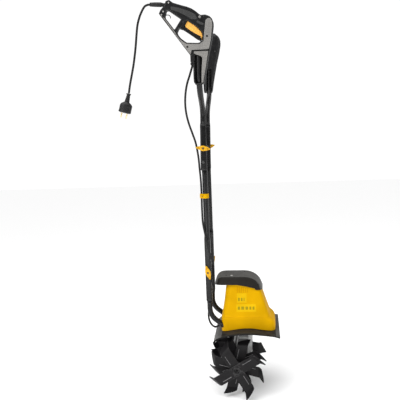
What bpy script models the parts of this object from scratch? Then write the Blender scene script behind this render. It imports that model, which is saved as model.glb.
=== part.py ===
# Electric tiller: upright, tines down, handles up.
# Metres, +Z up, +X is the direction of travel, +Y is the machine's left side.
# All shapes are drawn in a ground frame (tine shaft on X = 0, ground at Z = 0)
# and hang from one empty that moves the origin to the middle between the grips.
import bpy
import bmesh
import math
from mathutils import Vector, Matrix
from mathutils.geometry import tessellate_polygon

for _o in list(bpy.data.objects):
    bpy.data.objects.remove(_o, do_unlink=True)

# ------------------------------------------------------------------ sizes
GRIP_MID = (-0.100, 0.0, 1.360)     # midpoint between the two hand grips
TINE_Z = 0.110                      # height of the tine shaft
TINE_R = 0.110                      # radius over the tine tips
STAR_Y = (0.060, 0.0975, 0.135)     # distance of the three stars of a side
STAR_PHASE = {"right": (22.0, -15.0, 31.0), "left": (6.0, -2.0, -10.0)}   # blade angles, degrees
BLADE_BEND = 54.0                   # bend of each blade end, degrees
BLADE_W = 0.0405                    # blade width
BLADE_T = 0.0030                    # blade plate thickness
SHAFT_R = 0.0100
SLEEVE_RI = 0.0105
SLEEVE_RO = 0.0142
MOTOR_X = 0.037                     # motor axis, forward of the tine shaft
WORM_R = 0.0075                     # pitch radius of the worm
WHEEL_R = MOTOR_X - WORM_R          # pitch radius of the worm wheel
WHEEL_TEETH = 24
TUBE_X = -0.100                     # all handle tubes lie in this plane
TUBE_R = 0.0100
TUBE_WALL = 0.0013
TUBE_Y_LOW, TUBE_Y_MID, TUBE_Y_UP = 0.0645, 0.0773, 0.0901
FLAT_B = 0.0062                     # half thickness of a flattened tube end
UPPER_LEAN = 0.0210                  # forward lean of the upper section, slope
FLAT_A = 0.0112                     # half width of a flattened tube end
LOWER_PIVOT_Z = 0.4767
UPPER_PIVOT_Z = 0.9460
HANDLE_Y = 0.200
HANDLE_T = 0.0170                   # half thickness of the switch handle
HOUSE_WALL = 0.0028
CABLE_R = 0.0037
CORD_R = 0.0038
GAP = 0.0003
TRIG_PIVOT = (-0.0835, 1.3300)
BOLT_R = 0.0030

# -------------------------------------------------------------- materials
PALETTE = {
    "yellow_plastic": ((0.80, 0.46, 0.005), 0.42, 0.0),
    "black_plastic": ((0.022, 0.022, 0.023), 0.45, 0.0),
    "dark_plastic": ((0.050, 0.050, 0.051), 0.50, 0.0),
    "grey_plastic": ((0.22, 0.22, 0.21), 0.50, 0.0),
    "black_tube": ((0.020, 0.018, 0.018), 0.25, 0.6),
    "cast_grey": ((0.30, 0.30, 0.29), 0.50, 0.8),
    "tine_steel": ((0.045, 0.043, 0.047), 0.42, 0.7),
    "steel": ((0.50, 0.50, 0.50), 0.30, 1.0),
    "bronze": ((0.55, 0.33, 0.12), 0.40, 1.0),
    "copper": ((0.72, 0.30, 0.12), 0.35, 1.0),
    "rubber": ((0.020, 0.020, 0.020), 0.65, 0.0),
    "brass": ((0.75, 0.60, 0.30), 0.30, 1.0),
    "orange_plastic": ((0.85, 0.45, 0.08), 0.42, 0.0),
}
_mats = {}


def material(kind, name):
    """A Principled material of the given kind for one sub-part."""
    colour, rough, metal = PALETTE[kind]
    m = bpy.data.materials.new(name + "_" + kind)
    m.use_nodes = True
    b = m.node_tree.nodes["Principled BSDF"]
    b.inputs["Base Color"].default_value = (*colour, 1.0)
    b.inputs["Roughness"].default_value = rough
    b.inputs["Metallic"].default_value = metal
    m.diffuse_color = (*colour, 1.0)
    return m


# ----------------------------------------------------------------- frames
def empty(name, at, parent=None):
    e = bpy.data.objects.new(name, None)
    bpy.context.scene.collection.objects.link(e)
    e.empty_display_size = 0.03
    if parent is not None:
        e.parent = parent
        at = tuple(a - b for a, b in zip(at, parent["at"]))
        e.location = at
    else:
        e.location = at
    return e


ROOT = bpy.data.objects.new("frame", None)
bpy.context.scene.collection.objects.link(ROOT)
ROOT["at"] = GRIP_MID               # this ground-frame point is the origin
ROOT.location = (0.0, 0.0, 0.0)


def body(name, at):
    e = bpy.data.objects.new(name, None)
    bpy.context.scene.collection.objects.link(e)
    e.parent = ROOT
    e.location = tuple(a - b for a, b in zip(at, GRIP_MID))
    e["at"] = at
    return e


BASE = body("base", (0.0, 0.0, 0.0))
TINES = body("tine_rotor", (0.0, 0.0, TINE_Z))
MOTOR = body("motor_rotor", (MOTOR_X, 0.0, 0.30))
MIDDLE = body("middle_handle", (TUBE_X, 0.0, LOWER_PIVOT_Z))
UPPER = body("upper_handle", (TUBE_X, 0.0, UPPER_PIVOT_Z))
TRIGGER = body("trigger_pivot", (TRIG_PIVOT[0], -HANDLE_Y, TRIG_PIVOT[1]))
LOCK = body("lock_slide", (-0.0834, -HANDLE_Y, 1.3911))


def finish(name, bm, kind, parent, smooth=30.0):
    """Turn a bmesh in ground-frame coordinates into a named, parented object."""
    bmesh.ops.remove_doubles(bm, verts=bm.verts[:], dist=1e-7)
    bmesh.ops.recalc_face_normals(bm, faces=bm.faces[:])
    if bm.calc_volume(signed=True) < 0:
        bmesh.ops.reverse_faces(bm, faces=bm.faces[:])
    at = Vector(parent["at"])
    bmesh.ops.translate(bm, verts=bm.verts[:], vec=-at)
    me = bpy.data.meshes.new(name)
    bm.to_mesh(me)
    bm.free()
    ob = bpy.data.objects.new(name, me)
    bpy.context.scene.collection.objects.link(ob)
    ob.parent = parent
    me.materials.append(material(kind, name))
    me.shade_smooth()
    me.set_sharp_from_angle(angle=math.radians(smooth))
    return ob


def boolean(ob, bm, op="DIFFERENCE", exact=True):
    """Apply a Boolean with a cutter drawn in ground-frame coordinates."""
    bmesh.ops.remove_doubles(bm, verts=bm.verts[:], dist=1e-7)
    bmesh.ops.recalc_face_normals(bm, faces=bm.faces[:])
    if bm.calc_volume(signed=True) < 0:
        bmesh.ops.reverse_faces(bm, faces=bm.faces[:])
    at = Vector(ob.parent["at"])
    bmesh.ops.translate(bm, verts=bm.verts[:], vec=-at)
    me = bpy.data.meshes.new("cutter")
    bm.to_mesh(me)
    bm.free()
    cu = bpy.data.objects.new("cutter", me)
    bpy.context.scene.collection.objects.link(cu)
    cu.parent = ob.parent
    m = ob.modifiers.new("bool", "BOOLEAN")
    m.operation = op
    m.solver = "EXACT" if exact else "MANIFOLD"
    m.object = cu
    dg = bpy.context.evaluated_depsgraph_get()
    dg.update()
    new = bpy.data.meshes.new_from_object(ob.evaluated_get(dg))
    ob.modifiers.clear()
    mats = [s for s in ob.data.materials]
    old = ob.data
    ob.data = new
    while len(new.materials) > 1:
        new.materials.pop(index=len(new.materials) - 1)
    for p in new.polygons:
        p.material_index = 0
    bpy.data.meshes.remove(old)
    bpy.data.objects.remove(cu, do_unlink=True)
    bpy.data.meshes.remove(me)
    ob.data.shade_smooth()
    ob.data.set_sharp_from_angle(angle=math.radians(30.0))
    return ob


# ---------------------------------------------------------------- shapes
def ring(bm, pts):
    return [bm.verts.new(p) for p in pts]


def bridge(bm, a, b):
    n = len(a)
    for i in range(n):
        j = (i + 1) % n
        bm.faces.new((a[i], a[j], b[j], b[i]))


def loft(bm, rings, close=False, cap=True):
    """Skin a list of equal-length point rings; close joins last to first."""
    vs = [ring(bm, r) for r in rings]
    for a, b in zip(vs, vs[1:]):
        bridge(bm, a, b)
    if close:
        bridge(bm, vs[-1], vs[0])
    elif cap:
        bm.faces.new(vs[0][::-1])
        bm.faces.new(vs[-1])
    return vs


def axes_of(axis):
    return {"X": (Vector((0, 1, 0)), Vector((0, 0, 1)), Vector((1, 0, 0))),
            "Y": (Vector((0, 0, 1)), Vector((1, 0, 0)), Vector((0, 1, 0))),
            "Z": (Vector((1, 0, 0)), Vector((0, 1, 0)), Vector((0, 0, 1)))}[axis]


def lathe(profile, centre, axis="Z", seg=20, bm=None, phase=0.0):
    """Turned solid. profile is a list of (radius, height); if its ends touch
    radius 0 they close to a point, otherwise the profile is a closed loop."""
    if bm is None:
        bm = bmesh.new()
    u, v, w = axes_of(axis)
    c = Vector(centre)
    rows = []
    for r, h in profile:
        if r < 1e-9:
            rows.append([bm.verts.new(c + w * h)])
        else:
            rows.append([bm.verts.new(c + w * h + (u * math.cos(phase + 2 * math.pi * k / seg)
                                                   + v * math.sin(phase + 2 * math.pi * k / seg)) * r)
                         for k in range(seg)])
    pairs = list(zip(rows, rows[1:]))
    if len(rows[0]) > 1:
        pairs.append((rows[-1], rows[0]))
    for a, b in pairs:
        if len(a) == 1 and len(b) == 1:
            continue
        for i in range(seg):
            j = (i + 1) % seg
            if len(a) == 1:
                bm.faces.new((a[0], b[i], b[j]))
            elif len(b) == 1:
                bm.faces.new((a[i], b[0], a[j]))
            else:
                bm.faces.new((a[i], b[i], b[j], a[j]))
    return bm


def rod(p0, p1, r, seg=16, bm=None):
    """Straight round bar between two points."""
    if bm is None:
        bm = bmesh.new()
    p0, p1 = Vector(p0), Vector(p1)
    w = (p1 - p0).normalized()
    u = w.orthogonal().normalized()
    v = w.cross(u)
    loft(bm, [[p + (u * math.cos(2 * math.pi * k / seg) + v * math.sin(2 * math.pi * k / seg)) * r
               for k in range(seg)] for p in (p0, p1)])
    return bm


def box(x0, x1, y0, y1, z0, z1, bm=None):
    if bm is None:
        bm = bmesh.new()
    loft(bm, [[(x0, y0, z), (x1, y0, z), (x1, y1, z), (x0, y1, z)] for z in (z0, z1)])
    return bm


def prism(outline, y0, y1, bm=None, holes=()):
    """Extrude an (x, z) outline, with holes, between two Y planes."""
    if bm is None:
        bm = bmesh.new()
    loops = [list(outline)] + [list(h) for h in holes]
    flat = [p for lp in loops for p in lp]
    tris = tessellate_polygon([[Vector((x, z, 0.0)) for x, z in lp] for lp in loops])
    lo = [bm.verts.new((x, y0, z)) for x, z in flat]
    hi = [bm.verts.new((x, y1, z)) for x, z in flat]
    for a, b, c in tris:
        bm.faces.new((lo[a], lo[b], lo[c]))
        bm.faces.new((hi[c], hi[b], hi[a]))
    k = 0
    for lp in loops:
        n = len(lp)
        for i in range(n):
            j = (i + 1) % n
            bm.faces.new((lo[k + i], lo[k + j], hi[k + j], hi[k + i]))
        k += n
    bmesh.ops.recalc_face_normals(bm, faces=bm.faces[:])
    return bm


def offset(poly, d):
    """Move a closed (x, z) outline inward by d (outward if d is negative)."""
    n = len(poly)
    area = sum(poly[i][0] * poly[(i + 1) % n][1] - poly[(i + 1) % n][0] * poly[i][1] for i in range(n))
    s = 1.0 if area > 0 else -1.0
    out = []
    for i in range(n):
        p0, p1, p2 = Vector(poly[i - 1]), Vector(poly[i]), Vector(poly[(i + 1) % n])
        a, b = (p1 - p0).normalized(), (p2 - p1).normalized()
        na, nb = Vector((-a.y, a.x)) * s, Vector((-b.y, b.x)) * s
        m = na + nb
        m = m / max(m.length_squared / 2.0, 0.5)
        out.append(tuple(p1 + m * d))
    return out


def catmull(points, per=8, closed=False):
    """Points on a smooth curve through the given points."""
    pts = [Vector(p) for p in points]
    n = len(pts)
    out = []
    for i in range(n - 1):
        p0 = pts[max(i - 1, 0)]
        p1, p2 = pts[i], pts[i + 1]
        p3 = pts[min(i + 2, n - 1)]
        for k in range(per):
            t = k / per
            out.append(0.5 * ((2 * p1) + (p2 - p0) * t + (2 * p0 - 5 * p1 + 4 * p2 - p3) * t * t
                              + (3 * p1 - p0 - 3 * p2 + p3) * t ** 3))
    out.append(pts[-1])
    return out


def resample(points, step):
    """Evenly spaced points along a polyline."""
    d = [0.0]
    for a, b in zip(points, points[1:]):
        d.append(d[-1] + (b - a).length)
    n = max(2, int(round(d[-1] / step)))
    out, k = [], 0
    for i in range(n + 1):
        s = d[-1] * i / n
        while k < len(d) - 2 and d[k + 1] < s:
            k += 1
        f = (s - d[k]) / max(d[k + 1] - d[k], 1e-12)
        out.append(points[k].lerp(points[k + 1], min(max(f, 0.0), 1.0)))
    return out


def bent_tube(path, sections, inner=True, seg=12):
    """Round or flattened tube. sections gives (half X, half side) per point."""
    bm = bmesh.new()
    pts = [Vector(p) for p in path]
    outer_r, inner_r = [], []
    for i, p in enumerate(pts):
        t = (pts[min(i + 1, len(pts) - 1)] - pts[max(i - 1, 0)]).normalized()
        u = Vector((1, 0, 0)) - t * t.x
        u.normalize()
        v = t.cross(u)
        a, b = sections[i]

        def oval(a, b, k):
            an = 2 * math.pi * k / seg
            e = 2.0 / (2.0 + 1.6 * max(0.0, a / b - 1.0))
            cx, cy = math.cos(an), math.sin(an)
            return (u * math.copysign(abs(cx) ** e, cx) * a + v * math.copysign(abs(cy) ** e, cy) * b)
        outer_r.append([p + oval(a, b, k) for k in range(seg)])
        inner_r.append([p + oval(a - TUBE_WALL, b - TUBE_WALL, k) for k in range(seg)])
    if inner:
        loft(bm, outer_r + inner_r[::-1], close=True)
    else:
        loft(bm, outer_r)
    return bm


def curve_tube(name, pts, r, kind, parent, res=2):
    """Cord: a poly curve with a round bevel and filled caps."""
    at = Vector(parent["at"])
    cu = bpy.data.curves.new(name, "CURVE")
    cu.dimensions = "3D"
    cu.bevel_depth = r
    cu.bevel_resolution = res
    cu.use_fill_caps = True
    sp = cu.splines.new("POLY")
    sp.points.add(len(pts) - 1)
    for q, p in zip(sp.points, pts):
        q.co = (*(Vector(p) - at), 1.0)
    ob = bpy.data.objects.new(name, cu)
    bpy.context.scene.collection.objects.link(ob)
    ob.parent = parent
    cu.materials.append(material(kind, name))
    return ob


def rrect(x0, x1, w, z, n=24, power=4.0, zf=None):
    """Superellipse ring in a level plane, or at a height zf(x)."""
    cx, a = (x0 + x1) / 2, (x1 - x0) / 2
    out = []
    for k in range(n):
        t = 2 * math.pi * (k + 0.5) / n
        c, s = math.cos(t), math.sin(t)
        e = 2.0 / power
        x = cx + a * math.copysign(abs(c) ** e, c)
        y = w * math.copysign(abs(s) ** e, s)
        out.append((x, y, z if zf is None else zf(x, y)))
    return out


def lerp_table(table, x):
    if x <= table[0][0]:
        return table[0][1]
    for (a, fa), (b, fb) in zip(table, table[1:]):
        if x <= b:
            return fa + (fb - fa) * (x - a) / (b - a)
    return table[-1][1]


# ----------------------------------------------------- motor housing, cover
# rows: height, rear X, front X, half width
HOUSING_ROWS = [
    (0.2700, -0.0560, 0.1500, 0.0835),
    (0.2820, -0.0556, 0.1445, 0.0830),
    (0.2905, -0.0550, 0.1335, 0.0825),
    (0.2960, -0.0545, 0.1295, 0.0815),
    (0.3030, -0.0500, 0.1270, 0.0770),
    (0.3300, -0.0465, 0.1180, 0.0735),
    (0.3600, -0.0400, 0.1085, 0.0695),
    (0.3880, -0.0362, 0.1000, 0.0655),
]
HOUSING_FOOT = [(-0.0562, 0.2402), (-0.030, 0.2463), (0.0, 0.2543), (0.030, 0.2555), (0.060, 0.2555),
                (0.092, 0.2533), (0.097, 0.2515), (0.130, 0.2456), (0.150, 0.2434)]
RIM = [(-0.0850, 0.4240), (0.0100, 0.4235), (0.0400, 0.4165), (0.0720, 0.4085), (0.1050, 0.3995)]


def housing_rings(inset, n=24):
    rows = [rrect(-0.0558 + inset, 0.1485 - inset, 0.0830 - inset, 0.0, n, 5.0,
                  lambda x, y: lerp_table(HOUSING_FOOT, x))]
    for z, x0, x1, w in HOUSING_ROWS:
        rows.append(rrect(x0 + inset, x1 - inset, w - inset, z, n, 5.0))
    rows.append(rrect(-0.0340 + inset, 0.0935 - inset, 0.0620 - inset, 0.0, n, 5.0,
                      lambda x, y: lerp_table(RIM, x) + 0.0045))
    return rows


bm = bmesh.new()
outer, inner = housing_rings(0.0), housing_rings(HOUSE_WALL)
loft(bm, outer + inner[::-1], close=True)
housing = finish("motor_housing", bm, "yellow_plastic", BASE)

LOWER_PATH = [(TUBE_X, z) for z in (0.600, 0.560, 0.380, 0.366, 0.352, 0.331)]
ARC_R = 0.060
for k in range(1, 6):
    an = math.radians(52.0 * k / 5)
    LOWER_PATH.append((TUBE_X + ARC_R * (1 - math.cos(an)), 0.331 - ARC_R * math.sin(an)))
LOWER_PATH.append((-0.0460, LOWER_PATH[-1][1] - (-0.0460 - LOWER_PATH[-1][0]) / math.tan(math.radians(52.0))))


def flat_at(z, lo, hi, blend=0.018):
    """Section of a tube whose stretch lo..hi is pressed flat."""
    f = 1.0
    if z < lo:
        f = max(0.0, 1.0 - (lo - z) / blend)
    if z > hi:
        f = max(0.0, 1.0 - (z - hi) / blend)
    return (TUBE_R + (FLAT_A - TUBE_R) * f, TUBE_R + (FLAT_B - TUBE_R) * f)


for side, sy in (("right", -1.0), ("left", 1.0)):
    y = sy * TUBE_Y_LOW
    cut = bent_tube([(x, y, z) for x, z in LOWER_PATH[5:]],
                    [(TUBE_R + 0.0005, TUBE_R + 0.0005)] * len(LOWER_PATH[5:]), inner=False, seg=12)
    boolean(housing, cut)
# hole for the switch cable gland in the rear wall
boolean(housing, rod((-0.070, -0.0440, 0.2550), (-0.030, -0.0440, 0.2550), 0.0064, 14))

COVER_RINGS = []


def cover_rings(inset, n=24):
    rim = lambda x, y: lerp_table(RIM, x)
    up = inset * 0.95
    return [rrect(-0.0800 + inset, 0.1040 - inset, 0.0672 - inset, 0.0, n, 4.5, rim),
            rrect(-0.0790 + inset, 0.1012 - inset, 0.0665 - inset, 0.0, n, 4.5, lambda x, y: rim(x, y) + 0.0095),
            rrect(-0.0722 + inset, 0.0850 - inset, 0.0615 - inset, 0.4355 - up * 0.2, n, 4.0),
            rrect(-0.0640 + inset, 0.0680 - inset, 0.0535 - inset, 0.4435 - up * 0.6, n, 3.6),
            rrect(-0.0520 + inset, 0.0500 - inset, 0.0430 - inset, 0.4480 - up, n, 3.0),
            rrect(-0.0260, 0.0240, 0.0220, 0.4500 - up, n, 2.2)]


bm = bmesh.new()
outer, inner = cover_rings(0.0), cover_rings(0.0030)
vs = loft(bm, outer[::-1] + inner, close=False, cap=True)
cover = finish("motor_cover", bm, "dark_plastic", BASE)
# the rear overhang closes below in a thin lip; motor air leaves under it

# ------------------------------------------------------------- tine guard
GUARD_TOP = [(-0.0848, 0.2227), (-0.0672, 0.2358), (-0.0428, 0.2425), (-0.0163, 0.2485), (0.0226, 0.2525),
             (0.0600, 0.2532), (0.0900, 0.2495), (0.1170, 0.2462), (0.1401, 0.2442), (0.1640, 0.2405)]
GUARD_FOOT = [(-0.0848, 0.2142), (-0.0672, 0.2282), (-0.0428, 0.2364), (-0.0163, 0.2425), (0.0226, 0.2462),
              (0.0600, 0.2470), (0.0900, 0.2445), (0.1170, 0.2418), (0.1401, 0.2390), (0.1640, 0.2330)]
GUARD_Y = 0.1330
GUARD_T = 0.0026
bm = prism(GUARD_FOOT + GUARD_TOP[::-1], -GUARD_Y, GUARD_Y)
guard = finish("tine_guard", bm, "dark_plastic", BASE)
# hollow below: an arched sheet with a short lip all round
under = [(x, z - GUARD_T) for x, z in GUARD_TOP]
under[0] = (under[0][0] + GUARD_T, under[0][1] + 0.0008)
under[-1] = (under[-1][0] - GUARD_T, under[-1][1])
boolean(guard, prism(under + [(under[-1][0], 0.2000), (under[0][0], 0.2000)], -GUARD_Y + GUARD_T, GUARD_Y - GUARD_T))
# window for the gearbox neck
boolean(guard, box(-0.0420, 0.0640, -0.0430, 0.0430, 0.2300, 0.2700))
# ---------------------------------------------------------------- gearbox
BOX_TOP = 0.2760
GB_R = 0.0360


def gearbox_outline():
    pts = []
    a0, a1 = 100.0, 325.0
    for k in range(13):
        an = math.radians(a0 + (a1 - a0) * k / 12)
        pts.append((GB_R * math.cos(an), TINE_Z + GB_R * math.sin(an)))
    pts += [(0.0500, 0.0930), (0.0570, 0.1020), (0.0585, 0.2000), (0.0615, 0.2300), (0.0615, BOX_TOP),
            (0.0125, BOX_TOP), (0.0125, 0.2440), (-0.0060, 0.2300), (-0.0060, 0.1960)]
    return pts


def gear_half(sy):
    y0, y1 = sy * GAP / 2, sy * 0.0360
    ob_bm = prism(gearbox_outline(), y0, y1)
    return ob_bm


for side, sy in (("right", -1.0), ("left", 1.0)):
    half = finish("gearbox_" + side, gear_half(sy), "cast_grey", BASE)
    # the neck is slimmer than the barrel, clear of the passing tines
    boolean(half, box(-0.0500, 0.0800, sy * 0.0300, sy * 0.0450, 0.1520, 0.2850))
    # worm wheel room
    boolean(half, rod((0, -sy * 0.002, TINE_Z), (0, sy * 0.0145, TINE_Z), 0.0328, 28))
    # worm shaft room, open at the top
    boolean(half, rod((MOTOR_X, 0, 0.0980), (MOTOR_X, 0, 0.2560), 0.0108, 18))
    boolean(half, rod((MOTOR_X, 0, 0.2500), (MOTOR_X, 0, 0.2900), 0.0133, 18))
    # bushing seat, right through the wall
    boolean(half, rod((0, sy * 0.0100, TINE_Z), (0, sy * 0.0400, TINE_Z), 0.0143, 20))
    # turned tine shaft bushing
    b = sy * 0.0150
    c = sy * 0.0375
    finish("shaft_bushing_" + side,
           lathe([(SHAFT_R + 0.0003, b), (0.0140, b), (0.0140, c), (SHAFT_R + 0.0003, c)],
                 (0, 0, TINE_Z), "Y", 20), "bronze", BASE)

finish("bearing_bottom", lathe([(0.0046, 0.2580), (0.0130, 0.2580), (0.0130, 0.2680), (0.0046, 0.2680)],
                               (MOTOR_X, 0, 0), "Z", 20), "steel", BASE)

# ------------------------------------------------- lower tubes and bracket
for side, sy in (("right", -1.0), ("left", 1.0)):
    y = sy * TUBE_Y_LOW
    ob = finish("lower_tube_" + side,
                bent_tube([(x, y, z) for x, z in LOWER_PATH],
                          [flat_at(z, 0.366, 0.700, 0.015) for x, z in LOWER_PATH]), "black_tube", BASE)
    boolean(ob, rod((TUBE_X, y - 0.02, LOWER_PIVOT_Z), (TUBE_X, y + 0.02, LOWER_PIVOT_Z), BOLT_R + 0.0003, 12))

# plate in front of the two tube ends, with a boss for each
end_x, end_z = LOWER_PATH[-1]
bm = box(end_x + 0.0070, end_x + 0.0120, -0.0700, 0.0700, 0.2590, 0.2760)
finish("tube_bracket", bm, "steel", BASE)

# --------------------------------------------------------- motor, gear pair
seg = 24
finish("stator_core", lathe([(0.0290, 0.3120), (0.0440, 0.3120), (0.0440, 0.3720), (0.0290, 0.3720)],
                            (MOTOR_X, 0, 0), "Z", seg), "steel", BASE)
finish("field_coil", lathe([(0.0300, 0.3725), (0.0420, 0.3725), (0.0405, 0.3850), (0.0315, 0.3850)],
                           (MOTOR_X, 0, 0), "Z", seg), "copper", BASE)
bm = lathe([(0.0048, 0.4180), (0.0110, 0.4180), (0.0110, 0.4250), (0.0048, 0.4250)], (MOTOR_X, 0, 0), "Z", 16)
bridge_ob = finish("brush_bridge", bm, "black_plastic", BASE)
for sx in (-1, 1):
    boolean(bridge_ob, box(MOTOR_X + sx * 0.0090 - 0.0, MOTOR_X + sx * 0.0400, -0.0060, 0.0060, 0.4190, 0.4240)
            if sx > 0 else box(MOTOR_X - 0.0400, MOTOR_X - 0.0090, -0.0060, 0.0060, 0.4190, 0.4240), "UNION")

finish("armature_core", lathe([(0.0048, 0.3130), (0.0282, 0.3130), (0.0282, 0.3710), (0.0048, 0.3710)],
                              (MOTOR_X, 0, 0), "Z", seg), "steel", MOTOR)
finish("cooling_fan", lathe([(0.0048, 0.2860), (0.0400, 0.2860), (0.0400, 0.2885), (0.0120, 0.2890),
                             (0.0110, 0.2990), (0.0048, 0.2990)], (MOTOR_X, 0, 0), "Z", seg),
       "black_plastic", MOTOR)

# worm: a threaded cylinder with a tapered run-out at both ends
PITCH = 2 * math.pi * WHEEL_R / WHEEL_TEETH
ROOT_R = WORM_R - 0.0024


def worm_shaft():
    bm = bmesh.new()
    nseg = 12
    turns_z0, turns_z1 = TINE_Z - 1.2 * PITCH, TINE_Z + 1.2 * PITCH
    rows = []

    def thread(z, th):
        ph = ((z - TINE_Z) / PITCH - th / (2 * math.pi)) % 1.0
        d = abs(ph - 0.5) * 2.0                       # 0 at the crest
        f = min(1.0, max(0.0, (0.46 - d) / 0.20))
        edge = min(1.0, max(0.0, min(z - turns_z0, turns_z1 - z) / (0.35 * PITCH)))
        return ROOT_R + (WORM_R + 0.0016 - ROOT_R) * f * edge

    n = 30
    z_lo = turns_z0 - 0.0015
    rows.append([(MOTOR_X + ROOT_R * 0.8 * math.cos(2 * math.pi * k / nseg),
                  ROOT_R * 0.8 * math.sin(2 * math.pi * k / nseg), z_lo) for k in range(nseg)])
    for i in range(n + 1):
        z = turns_z0 + (turns_z1 - turns_z0) * i / n
        row = []
        for k in range(nseg):
            th = 2 * math.pi * k / nseg
            r = thread(z, th)
            row.append((MOTOR_X + r * math.cos(th), r * math.sin(th), z))
        rows.append(row)
    for z, r in ((turns_z1 + 0.002, 0.0043), (0.4350, 0.0043)):
        rows.append([(MOTOR_X + r * math.cos(2 * math.pi * k / nseg), r * math.sin(2 * math.pi * k / nseg), z)
                     for k in range(nseg)])
    loft(bm, rows)
    return bm


worm = finish("armature_shaft", worm_shaft(), "steel", MOTOR)


def wheel():
    """Worm wheel with straight teeth, bored for the tine shaft."""
    bm = bmesh.new()
    pts = []
    for t in range(WHEEL_TEETH):
        a0 = 2 * math.pi * (t + 0.5) / WHEEL_TEETH
        for da, r in ((-0.20, WHEEL_R - 0.0026), (-0.10, WHEEL_R + 0.0018),
                      (0.10, WHEEL_R + 0.0018), (0.20, WHEEL_R - 0.0026)):
            an = a0 + 2 * math.pi * da / WHEEL_TEETH
            pts.append((r * math.cos(an), TINE_Z + r * math.sin(an)))
    hole = [((SHAFT_R + 0.0003) * math.cos(2 * math.pi * k / 20),
             TINE_Z + (SHAFT_R + 0.0003) * math.sin(2 * math.pi * k / 20)) for k in range(20)]
    return prism(pts, -0.0045, 0.0045, holes=[hole])


finish("worm_wheel", wheel(), "bronze", TINES)

# ----------------------------------------------------------- tine rotor
finish("tine_shaft", lathe([(0, -0.1360), (SHAFT_R - 0.001, -0.1360), (SHAFT_R, -0.1350), (SHAFT_R, 0.1350),
                            (SHAFT_R - 0.001, 0.1360), (0, 0.1360)], (0, 0, TINE_Z), "Y", 20), "steel", TINES)

for side, sy in (("right", -1.0), ("left", 1.0)):
    prof = [(SLEEVE_RI, 0.0410), (SLEEVE_RO, 0.0410)]
    for ys in STAR_Y:
        inner_side = 1.0 if ys < 0.13 else -1.0
        a = ys - BLADE_T - 0.0012
        prof += [(SLEEVE_RO, a - 0.0040), (0.0270, a - 0.0040), (0.0270, a), (SLEEVE_RO, a)]
    prof += [(SLEEVE_RO, 0.1420), (SLEEVE_RI, 0.1420)]
    prof = [(r, sy * h) for r, h in prof]
    sleeve = finish("tine_sleeve_" + side, lathe(prof, (0, 0, TINE_Z), "Y", 14), "tine_steel", TINES)
    # hole for the retaining pin, right through sleeve and shaft
    py = sy * 0.0770
    boolean(sleeve, rod((0, py, TINE_Z - 0.03), (0, py, TINE_Z + 0.03), 0.0034, 12))
    boolean(bpy.data.objects["tine_shaft"], rod((0, py, TINE_Z - 0.03), (0, py, TINE_Z + 0.03), 0.0034, 12))
    finish("sleeve_pin_" + side,
           lathe([(0, -0.0200), (0.0024, -0.0200), (0.0030, -0.0190), (0.0030, 0.0160), (0.0052, 0.0160),
                  (0.0052, 0.0190), (0, 0.0190)], (0, py, TINE_Z), "Z", 12), "steel", TINES)


FOLD_S = 0.0850                     # distance of the fold from the shaft axis, blade centre line
FOLD_SLOPE = 0.27                   # the fold runs outward toward the leading edge
# outline of a blade end, flat, from the leading root to the trailing root:
# (distance along the blade, distance across it, positive on the leading side)
BLADE_END = [(0.0300, BLADE_W / 2), (FOLD_S + FOLD_SLOPE * BLADE_W / 2, BLADE_W / 2),
             (0.0995, 0.0210), (0.1105, 0.0226), (0.1238, 0.0252),
             (0.1212, 0.0168), (0.1155, 0.0060), (0.1050, -0.0095), (0.0945, -0.0218),
             (FOLD_S - FOLD_SLOPE * BLADE_W / 2, -BLADE_W / 2), (0.0300, -BLADE_W / 2)]
FOLD_U = Vector((FOLD_SLOPE, 1.0)).normalized()      # along the fold
FOLD_N = Vector((1.0, -FOLD_SLOPE)).normalized()     # outward across it


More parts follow.
